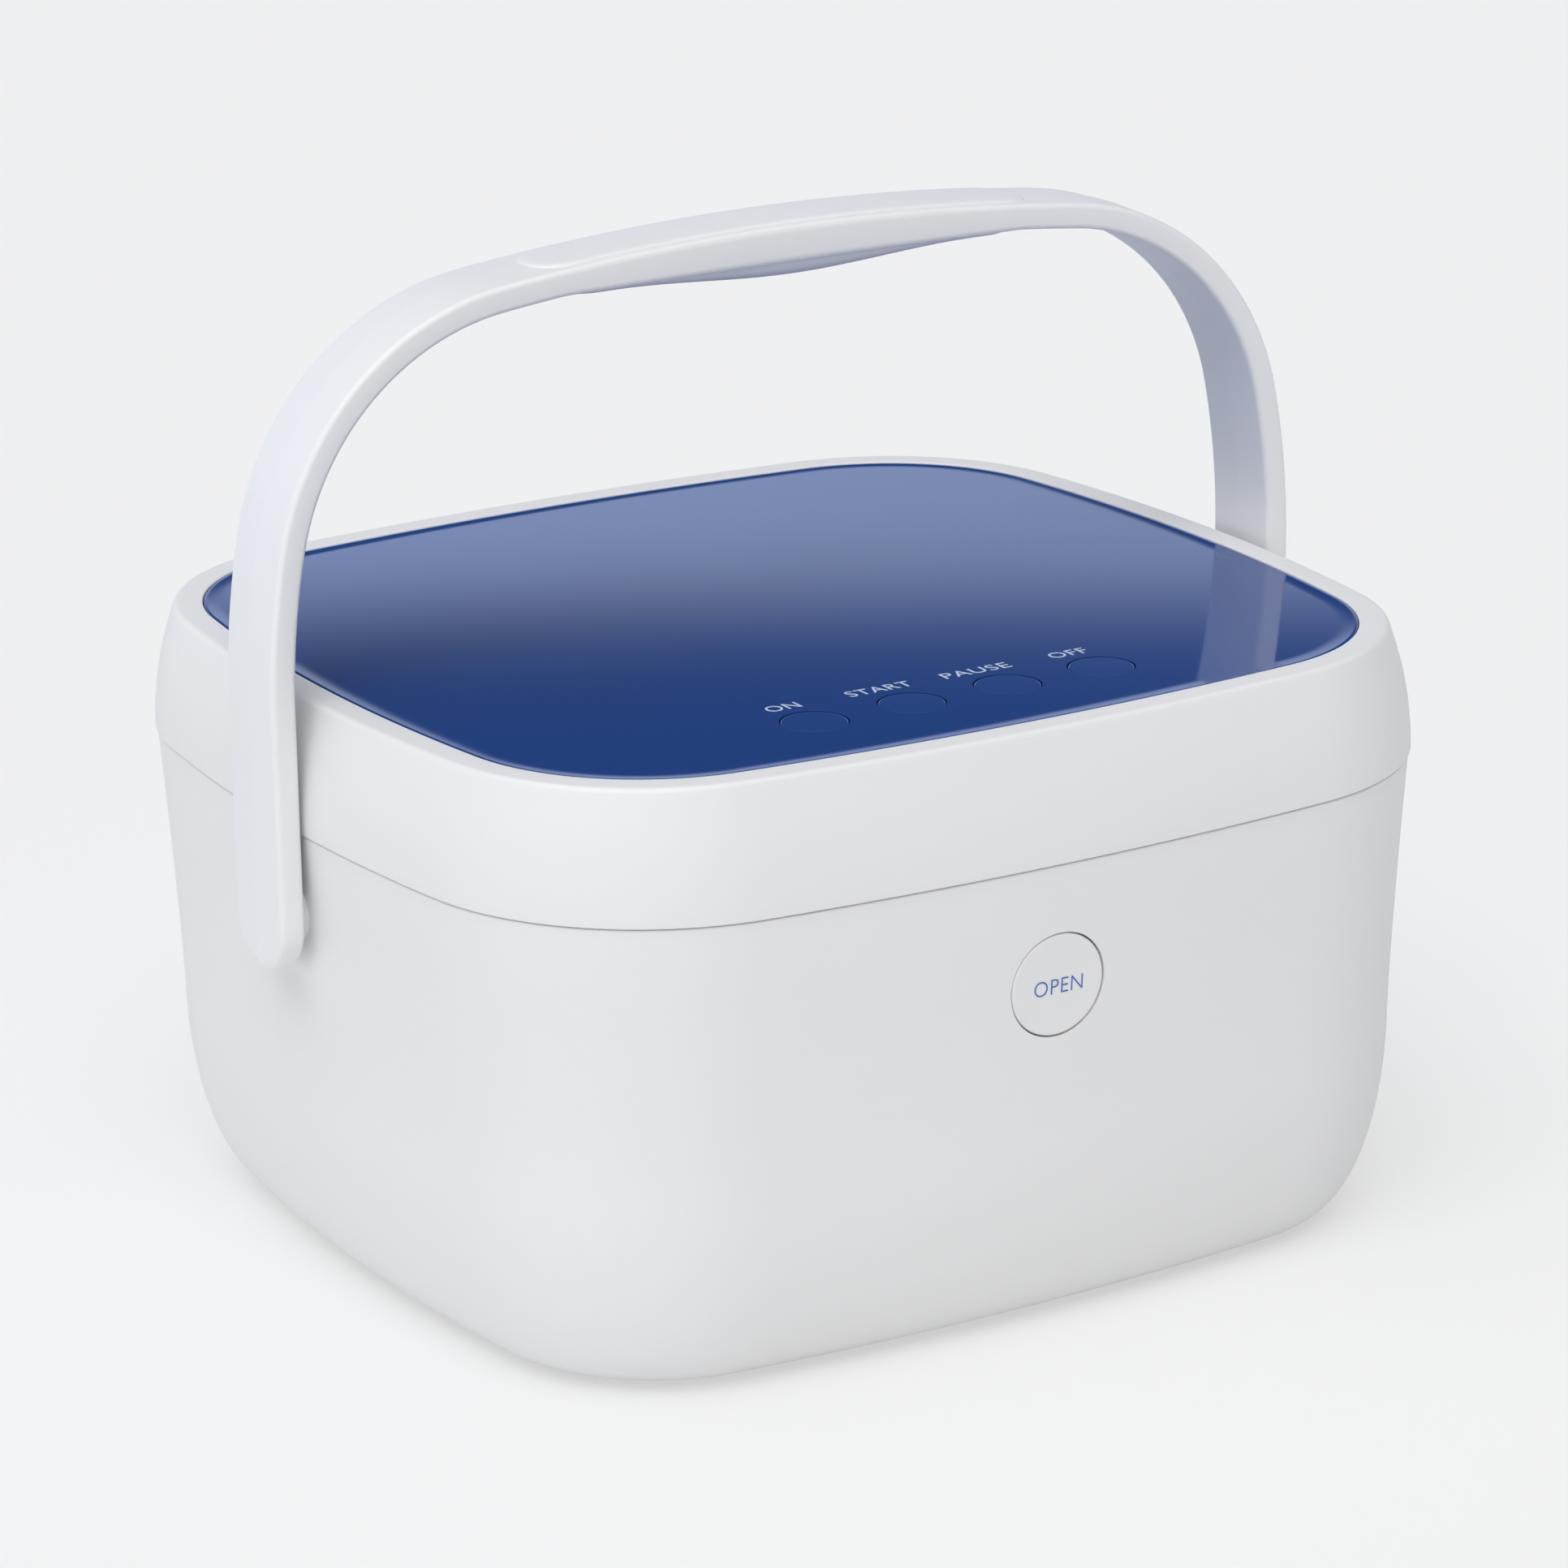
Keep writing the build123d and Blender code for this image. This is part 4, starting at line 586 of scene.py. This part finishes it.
# %% Slabs in strap coordinates
def slab(name, start, stop, half, end_radius, stations, top, bottom, levels, crease=30):
    """Slab with round ends between two lengths; top and bottom give a height for (length, share)."""
    tips = 16
    rows = []
    for step in range(tips):
        angle = math.radians(90 * (1 - step / tips))
        rows.append((start + end_radius * (1 - math.sin(angle)), math.cos(angle), angle))
    flat = [s for s in stations if start + end_radius < s < stop - end_radius]
    rows += [(s, 1.0, 0.0) for s in [start + end_radius] + flat + [stop - end_radius]]
    for step in range(1, tips + 1):
        angle = math.radians(90 * step / tips)
        rows.append((stop - end_radius * (1 - math.sin(angle)), math.cos(angle), -angle))
    shares = [-1, -0.8, -0.55, -0.3, -0.12, -0.035, 0, 0.035, 0.12, 0.3, 0.55, 0.8, 1]
    points, faces = [], []

    def face_grid(height):
        first = len(points)
        for length, width, _ in rows:
            for share in shares:
                points.append(strap_point(length, half * width * share, height(length, share)))
        columns = len(shares)
        for row in range(len(rows) - 1):
            for column in range(columns - 1):
                a = first + row * columns + column
                faces.append((a, a + 1, a + columns + 1, a + columns))

    def loop_at(outset, height):
        loop = []
        for side in (1, -1):
            order = rows if side == 1 else rows[::-1]
            for length, width, angle in order[1:]:
                slide = -math.sin(angle) * outset
                spread = math.cos(angle) * outset
                across = side * (half * width + spread)
                loop.append(strap_point(length + slide, across, height(length)))
        return loop

    face_grid(top)
    face_grid(bottom)
    rings = []
    for outset, mix in levels:
        rings.append(loop_at(outset, lambda s, mix=mix: top(s, 1) * (1 - mix) + bottom(s, 1) * mix))
    size = len(rings[0])
    first = len(points)
    for one in rings:
        points.extend(one)
    for level in range(len(rings) - 1):
        low, high = first + level * size, first + (level + 1) * size
        for step in range(size):
            after = (step + 1) % size
            faces.append((low + step, low + after, high + after, high + step))
    return make_mesh(name, points, faces, crease)


print("slab helper ready")

# %% [markdown]
# The bow itself: a strap 7.9 mm thick with narrow rounded edges and ends that are half circles
# just past the pivots. The faces fall away from the middle crease by half a millimetre, and
# under the crown the strap thickens by 3 mm, so that its lower edge runs almost straight there.

# %% Handle bow
edge_round, fall, end_reach = 1.5, 0.45, 1.6
cheek_half, cheek_deep = 70.0, 3.0
stations = [k * straight / 8 for k in range(0, 8)]
stations += [straight + k * lengths[1] / 10 for k in range(0, 10)]
stations += [straight + lengths[1] + k * lengths[2] / 26 for k in range(0, 26)]
stations += [half_length - lengths[3] + k * lengths[3] / 36 for k in range(0, 37)]
stations += [2 * half_length - s for s in stations[:-1][::-1]]


def bow_top(length, share):
    return mid - fall * abs(share)


def cheek(length):
    """How far the strap thickens downwards at a length; the middle of the crown is thickest."""
    return cheek_deep * max(0.0, 1 - ((length - half_length) / cheek_half) ** 2)


def bow_low(length, share):
    return -mid - cheek(length) + fall * abs(share)


thick = strap - 2 * fall
bow_levels = []
for a in range(0, 91, 15):
    turn = math.radians(a)
    bow_levels.append((edge_round * math.sin(turn), edge_round * (1 - math.cos(turn)) / thick))
bow_levels += [(outset, 1 - mix) for outset, mix in bow_levels[::-1]]
flat_half = strap_width / 2 - edge_round
past_pivot, stud_recess = flat_half + end_reach, 5.0
bow = slab(
    "carry_bow", -past_pivot, 2 * half_length + past_pivot, flat_half, flat_half,
    stations, bow_top, bow_low, bow_levels,
)
for side in (1, -1):
    inner_x = side * (handle_half - strap)
    start, stop = (inner_x - side * 2, pivot_y, pivot_z), (inner_x + side * 4, pivot_y, pivot_z)
    cut(bow, round_bar("cutter", start, stop, stud_recess))
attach(bow, "handle")
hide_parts("handle_bow", "handle_arms", "handle_sides")
print("bow faces:", len(bow.data.polygons))

# %% [markdown]
# On the crown lies a raised cap with round ends, and under it a swollen grip insert. The cap is
# a thin slab that melts into the strap. The insert is deepest in the middle and thin at its ends,
# so its bottom follows a cosine swell along the strap, and its sides round over like a D.

# %% Grip cap and grip
cap_half, cap_width, cap_up = 76.0, 10.6, 0.55
middle = half_length
near = [s for s in stations if abs(s - middle) < 75]
cap_round = 2.4
cap_levels = []
for a in (0, 20, 40, 60, 75, 90):
    turn = math.radians(a)
    cap_levels.append((cap_round * math.sin(turn), 0.75 * (1 - math.cos(turn))))
cap_levels.append((cap_round, 1.0))
cap_reach, cap_flat = cap_half - cap_round, cap_width - cap_round
cap = slab(
    "grip_top", middle - cap_reach, middle + cap_reach, cap_flat, cap_flat, near,
    lambda s, share: mid + cap_up - 0.15 * share**2, lambda s, share: mid - 0.7, cap_levels,
)
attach(cap, "handle")
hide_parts("grip_cap")

grip_half, grip_width, grip_deep, grip_thin, swell_half = 71.0, 11.8, 3.7, 0.5, 58.0


def grip_depth(length):
    """How far the insert reaches below the strap at a length."""
    away = abs(length - middle)
    swell = 0.5 + 0.5 * math.cos(math.pi * away / swell_half) if away < swell_half else 0.0
    return grip_thin + (grip_deep - grip_thin) * swell


grip_round = 3.4
grip_levels = []
for a in (0, 15, 30, 45, 60, 75, 90):
    turn = math.radians(a)
    grip_levels.append((grip_round * math.sin(turn), 0.9 * (1 - math.cos(turn)) ** 1.15))
grip_levels.append((grip_round, 1.0))
grip_reach, grip_flat = grip_half - grip_round, grip_width - grip_round
grip = slab(
    "grip_swell", middle - grip_reach, middle + grip_reach, grip_flat, grip_flat, near,
    lambda s, share: -mid - cheek(s) - grip_depth(s) * (1 - 0.1 * share**2),
    lambda s, share: -mid - cheek(s) + fall + 0.3, grip_levels,
)
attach(grip, "handle")
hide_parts("grip_underside")
print("grip depth in the middle:", grip_deep, "mm")

# %% [markdown]
# The words on the buttons are printed, so they are a film of ink a few hundredths of a
# millimetre thick. Text objects with Blender's own plain font do this: they are laid on the
# surface and turned into meshes, so that they travel with any export.

# %% Printed words
film = 0.05


def printed(name, words, size, width, matrix, thin=0.0):
    """Words as a thin film, scaled to a size and width in millimetres and set by a matrix."""
    text = bpy.data.curves.new(name, "FONT")
    text.body, text.align_x, text.align_y = words, "CENTER", "CENTER"
    text.size, text.offset, text.extrude, text.resolution_u = 1.0, thin, 0.0, 6
    text.space_character = 1.06
    holder = bpy.data.objects.new(name + "_text", text)
    bpy.context.scene.collection.objects.link(holder)
    bpy.context.view_layer.update()
    graph = bpy.context.evaluated_depsgraph_get()
    mesh = bpy.data.meshes.new_from_object(holder.evaluated_get(graph))
    bpy.data.objects.remove(holder)
    xs = [v.co.x for v in mesh.vertices]
    ys = [v.co.y for v in mesh.vertices]
    work = bmesh.new()
    work.from_mesh(mesh)
    centre = Vector(((max(xs) + min(xs)) / 2, (max(ys) + min(ys)) / 2, 0))
    bmesh.ops.translate(work, verts=work.verts, vec=-centre)
    scale = (width / (max(xs) - min(xs)), size / (max(ys) - min(ys)), 1)
    bmesh.ops.scale(work, verts=work.verts, vec=scale)
    faces = bmesh.ops.extrude_face_region(work, geom=work.faces[:])
    top = [v for v in faces["geom"] if isinstance(v, bmesh.types.BMVert)]
    bmesh.ops.translate(work, verts=top, vec=(0, 0, film))
    bmesh.ops.recalc_face_normals(work, faces=work.faces)
    bmesh.ops.transform(work, matrix=matrix, verts=work.verts)
    bmesh.ops.scale(work, verts=work.verts, vec=(MM, MM, MM))
    work.to_mesh(mesh)
    work.free()
    piece = bpy.data.objects.new(name, mesh)
    bpy.context.scene.collection.objects.link(piece)
    return piece


panel_words = []
captions = (("ON", -45.9, 9.5), ("START", -17.1, 19.0), ("PAUSE", 12.4, 20.2), ("OFF", 41.0, 11.2))
for words, x, width in captions:
    spot = Matrix.Translation((x, -79.6, panel_top + 0.01))
    piece = printed("word_" + words.lower(), words, 4.6, width, spot)
    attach(piece, "lid")
    panel_words.append(piece)
lean = math.atan((housing_growth(100) - housing_growth(96)) / 4)
stand = Matrix.Translation((0.3, wall_at(0, open_z) + 0.27, open_z - 0.4))
stand = stand @ Matrix.Rotation(math.pi / 2 + lean, 4, "X")
open_word = printed("word_open", "OPEN", 4.1, 14.6, stand, thin=-0.014)
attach(open_word, "open_button")
print("words:", [piece.name for piece in panel_words + [open_word]])

# %% [markdown]
# Finishes. Almost everything is moulded plastic, which is never one flat tone: the tool's
# surface leaves a fine grain, and the gloss drifts a little where the melt flowed. One node
# group holds both effects, with named sockets, and each material places it with its own values.
# The grain goes to the Bump node in the material, and the drift to colour and roughness.

# %% Shared surface group
def new_group(name, inputs, outputs):
    """Shader node group with named sockets."""
    group = bpy.data.node_groups.new(name, "ShaderNodeTree")
    for title, kind, value in inputs:
        socket = group.interface.new_socket(title, in_out="INPUT", socket_type=kind)
        socket.default_value = value
    for title, kind in outputs:
        group.interface.new_socket(title, in_out="OUTPUT", socket_type=kind)
    return group, group.nodes.new("NodeGroupInput"), group.nodes.new("NodeGroupOutput")


def math_node(tree, operation, first, second, clamp=False):
    """Math node whose inputs are sockets or numbers."""
    node = tree.nodes.new("ShaderNodeMath")
    node.operation, node.use_clamp = operation, clamp
    for socket, value in zip(node.inputs, (first, second)):
        if isinstance(value, (int, float)):
            socket.default_value = value
        else:
            tree.links.new(value, socket)
    return node.outputs[0]


COLOUR, NUMBER = "NodeSocketColor", "NodeSocketFloat"
moulded, enter, leave = new_group(
    "Moulded surface",
    [
        ("Tone", COLOUR, (0.8, 0.8, 0.8, 1)), ("Drift tone", COLOUR, (0.75, 0.75, 0.75, 1)),
        ("Grain scale", NUMBER, 900.0), ("Drift scale", NUMBER, 9.0),
        ("Roughness", NUMBER, 0.4), ("Roughness drift", NUMBER, 0.08),
    ],
    [("Colour", COLOUR), ("Roughness", NUMBER), ("Height", NUMBER)],
)
place = moulded.nodes.new("ShaderNodeTexCoord").outputs["Object"]
grain = moulded.nodes.new("ShaderNodeTexNoise")
grain.inputs["Detail"].default_value = 2.0
drift = moulded.nodes.new("ShaderNodeTexNoise")
drift.inputs["Detail"].default_value = 3.0
for noise, socket in ((grain, "Grain scale"), (drift, "Drift scale")):
    moulded.links.new(place, noise.inputs["Vector"])
    moulded.links.new(enter.outputs[socket], noise.inputs["Scale"])
tones = moulded.nodes.new("ShaderNodeMix")
tones.data_type = "RGBA"
moulded.links.new(drift.outputs["Fac"], tones.inputs[0])
moulded.links.new(enter.outputs["Tone"], tones.inputs[6])
moulded.links.new(enter.outputs["Drift tone"], tones.inputs[7])
moulded.links.new(tones.outputs[2], leave.inputs["Colour"])
centred = math_node(moulded, "SUBTRACT", drift.outputs["Fac"], 0.5)
swing = math_node(moulded, "MULTIPLY", centred, enter.outputs["Roughness drift"])
rough = math_node(moulded, "ADD", enter.outputs["Roughness"], swing, clamp=True)
moulded.links.new(rough, leave.inputs["Roughness"])
moulded.links.new(grain.outputs["Fac"], leave.inputs["Height"])
print("group:", moulded.name)


# %% Materials from the shared group
def tone(red, green, blue):
    """Linear colour from the 0-255 numbers that a picture shows."""
    shares = [c / 255 for c in (red, green, blue)]
    return tuple(c / 12.92 if c <= 0.04 else ((c + 0.055) / 1.055) ** 2.4 for c in shares) + (1,)


def finish(name, colour, drift_colour, roughness, grain_scale=900, grain_depth=0.02, metallic=0.0,
           swing=0.08, **sockets):
    """Material with the moulded surface group in front of a Principled shader."""
    material = bpy.data.materials.new(name)
    material.use_nodes = True
    tree = material.node_tree
    shader = next(node for node in tree.nodes if node.type == "BSDF_PRINCIPLED")
    surface = tree.nodes.new("ShaderNodeGroup")
    surface.node_tree = moulded
    surface.inputs["Tone"].default_value = colour
    surface.inputs["Drift tone"].default_value = drift_colour
    surface.inputs["Grain scale"].default_value = grain_scale
    surface.inputs["Roughness"].default_value = roughness
    surface.inputs["Roughness drift"].default_value = swing
    bump = tree.nodes.new("ShaderNodeBump")
    bump.inputs["Strength"].default_value = 0.35
    bump.inputs["Distance"].default_value = grain_depth * MM
    tree.links.new(surface.outputs["Colour"], shader.inputs["Base Color"])
    tree.links.new(surface.outputs["Roughness"], shader.inputs["Roughness"])
    tree.links.new(surface.outputs["Height"], bump.inputs["Height"])
    tree.links.new(bump.outputs["Normal"], shader.inputs["Normal"])
    shader.inputs["Metallic"].default_value = metallic
    for socket, value in sockets.items():
        shader.inputs[socket.replace("_", " ")].default_value = value
    return material


shell_white = finish("Housing white", tone(234, 234, 234), tone(232, 232, 232), 0.42)
handle_white = finish("Handle white", tone(236, 237, 239), tone(233, 234, 237), 0.46)
# The grip insert is partly its own bluish grey and partly painted shade: it is darker than the handle's
# white because the crown's underside lies in shade.
grip_tone_and_painted_shade = finish("Grip insert", tone(206, 209, 222), tone(200, 203, 217), 0.5, grain_depth=0.04)
mirror = {"grain_scale": 1500, "grain_depth": 0.001, "swing": 0.01}
panel_blue = finish("Panel blue", tone(30, 69, 138), tone(28, 66, 134), 0.06, **mirror)
button_blue = finish("Button blue", tone(33, 72, 142), tone(31, 69, 138), 0.06, **mirror)
word_pale = finish("Pale print", tone(196, 208, 232), tone(190, 202, 228), 0.5)
word_blue = finish("Blue print", tone(70, 116, 196), tone(66, 110, 190), 0.5)
liner_bright = finish(
    "Bright liner", tone(214, 216, 219), tone(204, 207, 211), 0.28, grain_scale=300, metallic=1.0
)
board_green = finish("Board green", tone(22, 92, 52), tone(16, 78, 44), 0.4, grain_scale=400)
lamp_pale = finish("Lamp package", tone(232, 226, 190), tone(222, 214, 170), 0.35)
steel_grey = finish(
    "Plain steel", tone(176, 178, 182), tone(160, 162, 167), 0.32, grain_scale=500, metallic=1.0
)
rack_steel = finish(
    "Polished wire", tone(205, 207, 210), tone(194, 196, 200), 0.18, grain_scale=500, metallic=1.0
)
silicone = finish("Soft silicone", tone(196, 199, 203), tone(188, 191, 196), 0.6, grain_scale=1200)
foot_black = finish(
    "Foot rubber", tone(34, 34, 36), tone(28, 28, 30), 0.75, grain_scale=700, grain_depth=0.06
)
black_part = finish("Black plastic", tone(30, 30, 33), tone(24, 24, 27), 0.45)
pin_brass = finish("Pin brass", tone(196, 160, 92), tone(184, 148, 82), 0.25, metallic=1.0)
quartz = finish(
    "Quartz window", tone(235, 240, 250), tone(230, 236, 248), 0.05, grain_depth=0.001, swing=0.0,
    Transmission_Weight=1.0, IOR=1.46,
)
print("materials:", len(bpy.data.materials))

# %% [markdown]
# Each piece takes its finish. Nodes of the frame that keep their own mesh get theirs in the
# material slot, and a bevel and smooth sides are not needed there, because they are small or
# hidden until the lid opens.

# %% Put the finishes on
def dress(obj, material):
    """Sets the one material of an object."""
    obj.data.materials.clear()
    obj.data.materials.append(material)


dress(housing, shell_white)
dress(lid, shell_white)
dress(panel, panel_blue)
for piece in buttons:
    dress(piece, button_blue)
dress(release, shell_white)
for piece in (bow, cap):
    dress(piece, handle_white)
dress(grip, grip_tone_and_painted_shade)
dress(bosses, handle_white)
for piece in panel_words:
    dress(piece, word_pale)
dress(open_word, word_blue)

by_slot = {
    "shell_plastic": shell_white, "handle_plastic": handle_white, "panel_plastic": panel_blue,
    "button_plastic": button_blue, "open_plastic": shell_white, "liner_metal": liner_bright,
    "board": board_green, "lamp": lamp_pale, "quartz": quartz, "steel": steel_grey,
    "stainless": rack_steel, "silicone": silicone, "foot_rubber": foot_black,
    "black_plastic": black_part, "bush_plastic": handle_white, "brass": pin_brass,
}
slot_of = {entry["node"]: entry["material_slot"] for entry in frame["record"]["subparts"]}
for name, obj in nodes.items():
    for holder in obj.material_slots:
        holder.link = "OBJECT"
        holder.material = by_slot[slot_of[name]]
print("dressed nodes:", len(nodes))

# %% [markdown]
# The studio. The floor is pale paper. A photographer would light it apart from the object, and
# in the picture it then shows as one even tone with a thin shadow. We get the same from a share
# of light of its own, which only the camera, glossy and transmission rays see, while the paper
# underneath still bounces the lamps' light and still takes the shadow.

# %% Floor
floor_mesh = bpy.data.meshes.new("studio_floor")
floor_mesh.from_pydata([(-12, -12, 0), (12, -12, 0), (12, 12, 0), (-12, 12, 0)], [], [(0, 1, 2, 3)])
floor = bpy.data.objects.new("studio_floor", floor_mesh)
bpy.context.scene.collection.objects.link(floor)
floor_paint = finish("Studio floor", tone(242, 242, 242), tone(242, 242, 242), 0.9)
dress(floor, floor_paint)

own_light = 0.6
paper = floor_paint.node_tree
paper_shader = next(node for node in paper.nodes if node.type == "BSDF_PRINCIPLED")
paper_out = next(node for node in paper.nodes if node.type == "OUTPUT_MATERIAL")
glow = paper.nodes.new("ShaderNodeEmission")
glow.inputs["Color"].default_value = tone(244, 244, 244)
rays = paper.nodes.new("ShaderNodeLightPath")
seen = math_node(paper, "ADD", rays.outputs["Is Camera Ray"], rays.outputs["Is Glossy Ray"])
seen = math_node(paper, "ADD", seen, rays.outputs["Is Transmission Ray"], clamp=True)
share = math_node(paper, "MULTIPLY", seen, own_light)
blend = paper.nodes.new("ShaderNodeMixShader")
paper.links.new(share, blend.inputs[0])
paper.links.new(paper_shader.outputs["BSDF"], blend.inputs[1])
paper.links.new(glow.outputs["Emission"], blend.inputs[2])
paper.links.new(blend.outputs["Shader"], paper_out.inputs["Surface"])
print("floor's own share of light:", own_light)

# %% [markdown]
# A glossy panel shows what stands behind it, so the world isn't one flat tone. Low round the
# horizon it is bright, like the studio's pale walls, a little blue behind the box and dimmer at
# the skirting. Above lies a dim band, the far ceiling, and over the box a bright dome. Seen from
# the camera, the far half of the panel mirrors the walls and turns pale, and the near half
# mirrors the dim band and shows its own deep blue. The left and the front are a little brighter
# than the right and the back, and a sun with a wide disc adds one soft key light.

# %% Light and world
def sun(name, strength, angle, azimuth, elevation):
    """Sun lamp that shines from an azimuth, seen from above, and an elevation."""
    lamp = bpy.data.lights.new(name, "SUN")
    lamp.energy, lamp.angle = strength, math.radians(angle)
    holder = bpy.data.objects.new(name, lamp)
    a, e = math.radians(azimuth), math.radians(elevation)
    toward = Vector((math.sin(a) * math.cos(e), -math.cos(a) * math.cos(e), math.sin(e)))
    holder.rotation_mode = "QUATERNION"
    holder.rotation_quaternion = toward.to_track_quat("Z", "Y")
    bpy.context.scene.collection.objects.link(holder)


def fade(tree, value, start, stop, first, last):
    """Smooth step of a value from the first level to the last."""
    node = tree.nodes.new("ShaderNodeMapRange")
    node.interpolation_type = "SMOOTHSTEP"
    tree.links.new(value, node.inputs["Value"])
    levels = {"From Min": start, "From Max": stop, "To Min": first, "To Max": last}
    for socket, level in levels.items():
        node.inputs[socket].default_value = level
    return node.outputs["Result"]


sun("key", 1.35, 50, -44, 54)
skirt_low, skirt_high = math.sin(math.radians(5)), math.sin(math.radians(12))
wall_low, wall_high = math.sin(math.radians(15.45)), math.sin(math.radians(16.45))
dome_low, dome_high = math.sin(math.radians(38)), math.sin(math.radians(60))
skirt_level, wall_level, band_level, dome_level = 0.6, 1.18, 0.03, 1.1
leftward, frontward = 0.45, 0.12

world = bpy.data.worlds.new("studio")
world.use_nodes = True
bpy.context.scene.world = world
room = world.node_tree
sky = next(node for node in room.nodes if node.type == "BACKGROUND")
compass = room.nodes.new("ShaderNodeSeparateXYZ")
room.links.new(room.nodes.new("ShaderNodeTexCoord").outputs["Generated"], compass.inputs[0])
walls = fade(room, compass.outputs["Z"], wall_low, wall_high, wall_level, band_level)
skirt = fade(room, compass.outputs["Z"], skirt_low, skirt_high, skirt_level, wall_level)
walls = math_node(room, "MINIMUM", walls, skirt)
dome = fade(room, compass.outputs["Z"], dome_low, dome_high, 0.0, dome_level)
level = math_node(room, "MAXIMUM", walls, dome)
side = math_node(room, "MULTIPLY", compass.outputs["X"], -leftward)
ahead = fade(room, compass.outputs["Y"], -0.7, -0.1, 1 + frontward, 1.0)
level = math_node(room, "MULTIPLY", level, math_node(room, "ADD", side, ahead))
room.links.new(level, sky.inputs["Strength"])
tints = room.nodes.new("ShaderNodeMix")
tints.data_type = "RGBA"
tints.inputs[6].default_value, tints.inputs[7].default_value = (1, 1, 1, 1), (0.84, 0.98, 1.28, 1)
low = fade(room, compass.outputs["Z"], wall_low, wall_high, 1.0, 0.0)
behind = fade(room, compass.outputs["Y"], 0.1, 0.6, 0.0, 1.0)
blue_wall = math_node(room, "MULTIPLY", low, behind)
blue_dome = math_node(room, "MULTIPLY", dome, 0.1)
room.links.new(math_node(room, "MAXIMUM", blue_wall, blue_dome), tints.inputs[0])
room.links.new(tints.outputs[2], sky.inputs["Color"])

# %% [markdown]
# The camera stands where the photographer stood: 1.55 m away, turned 31 degrees to the left
# of the front and 18 degrees above the table, with a long lens and hardly any roll. These
# values come from fitting the outline, the buttons and the handle to the picture.

# %% Camera
camera_data = bpy.data.cameras.new("camera")
camera_data.lens, camera_data.sensor_width = 133.0, 36.0
camera_data.clip_start, camera_data.clip_end = 0.05, 50
camera = bpy.data.objects.new("camera", camera_data)
azimuth, elevation, roll = math.radians(-31.033), math.radians(17.776), math.radians(-0.758)
level_part = math.cos(elevation)
back = Vector((math.sin(azimuth) * level_part, -math.cos(azimuth) * level_part, math.sin(elevation)))
right = Vector((math.cos(azimuth), math.sin(azimuth), 0))
up = back.cross(right)
view_right = right * math.cos(roll) + up * math.sin(roll)
view_up = up * math.cos(roll) - right * math.sin(roll)
turn = Matrix((view_right, view_up, back)).transposed().to_4x4()
camera.matrix_world = Matrix.Translation((-0.7686, -1.28116, 0.59374)) @ turn
bpy.context.scene.collection.objects.link(camera)
bpy.context.scene.camera = camera
bpy.context.scene.view_settings.view_transform = "Standard"
print("camera at", [round(c, 3) for c in camera.location])
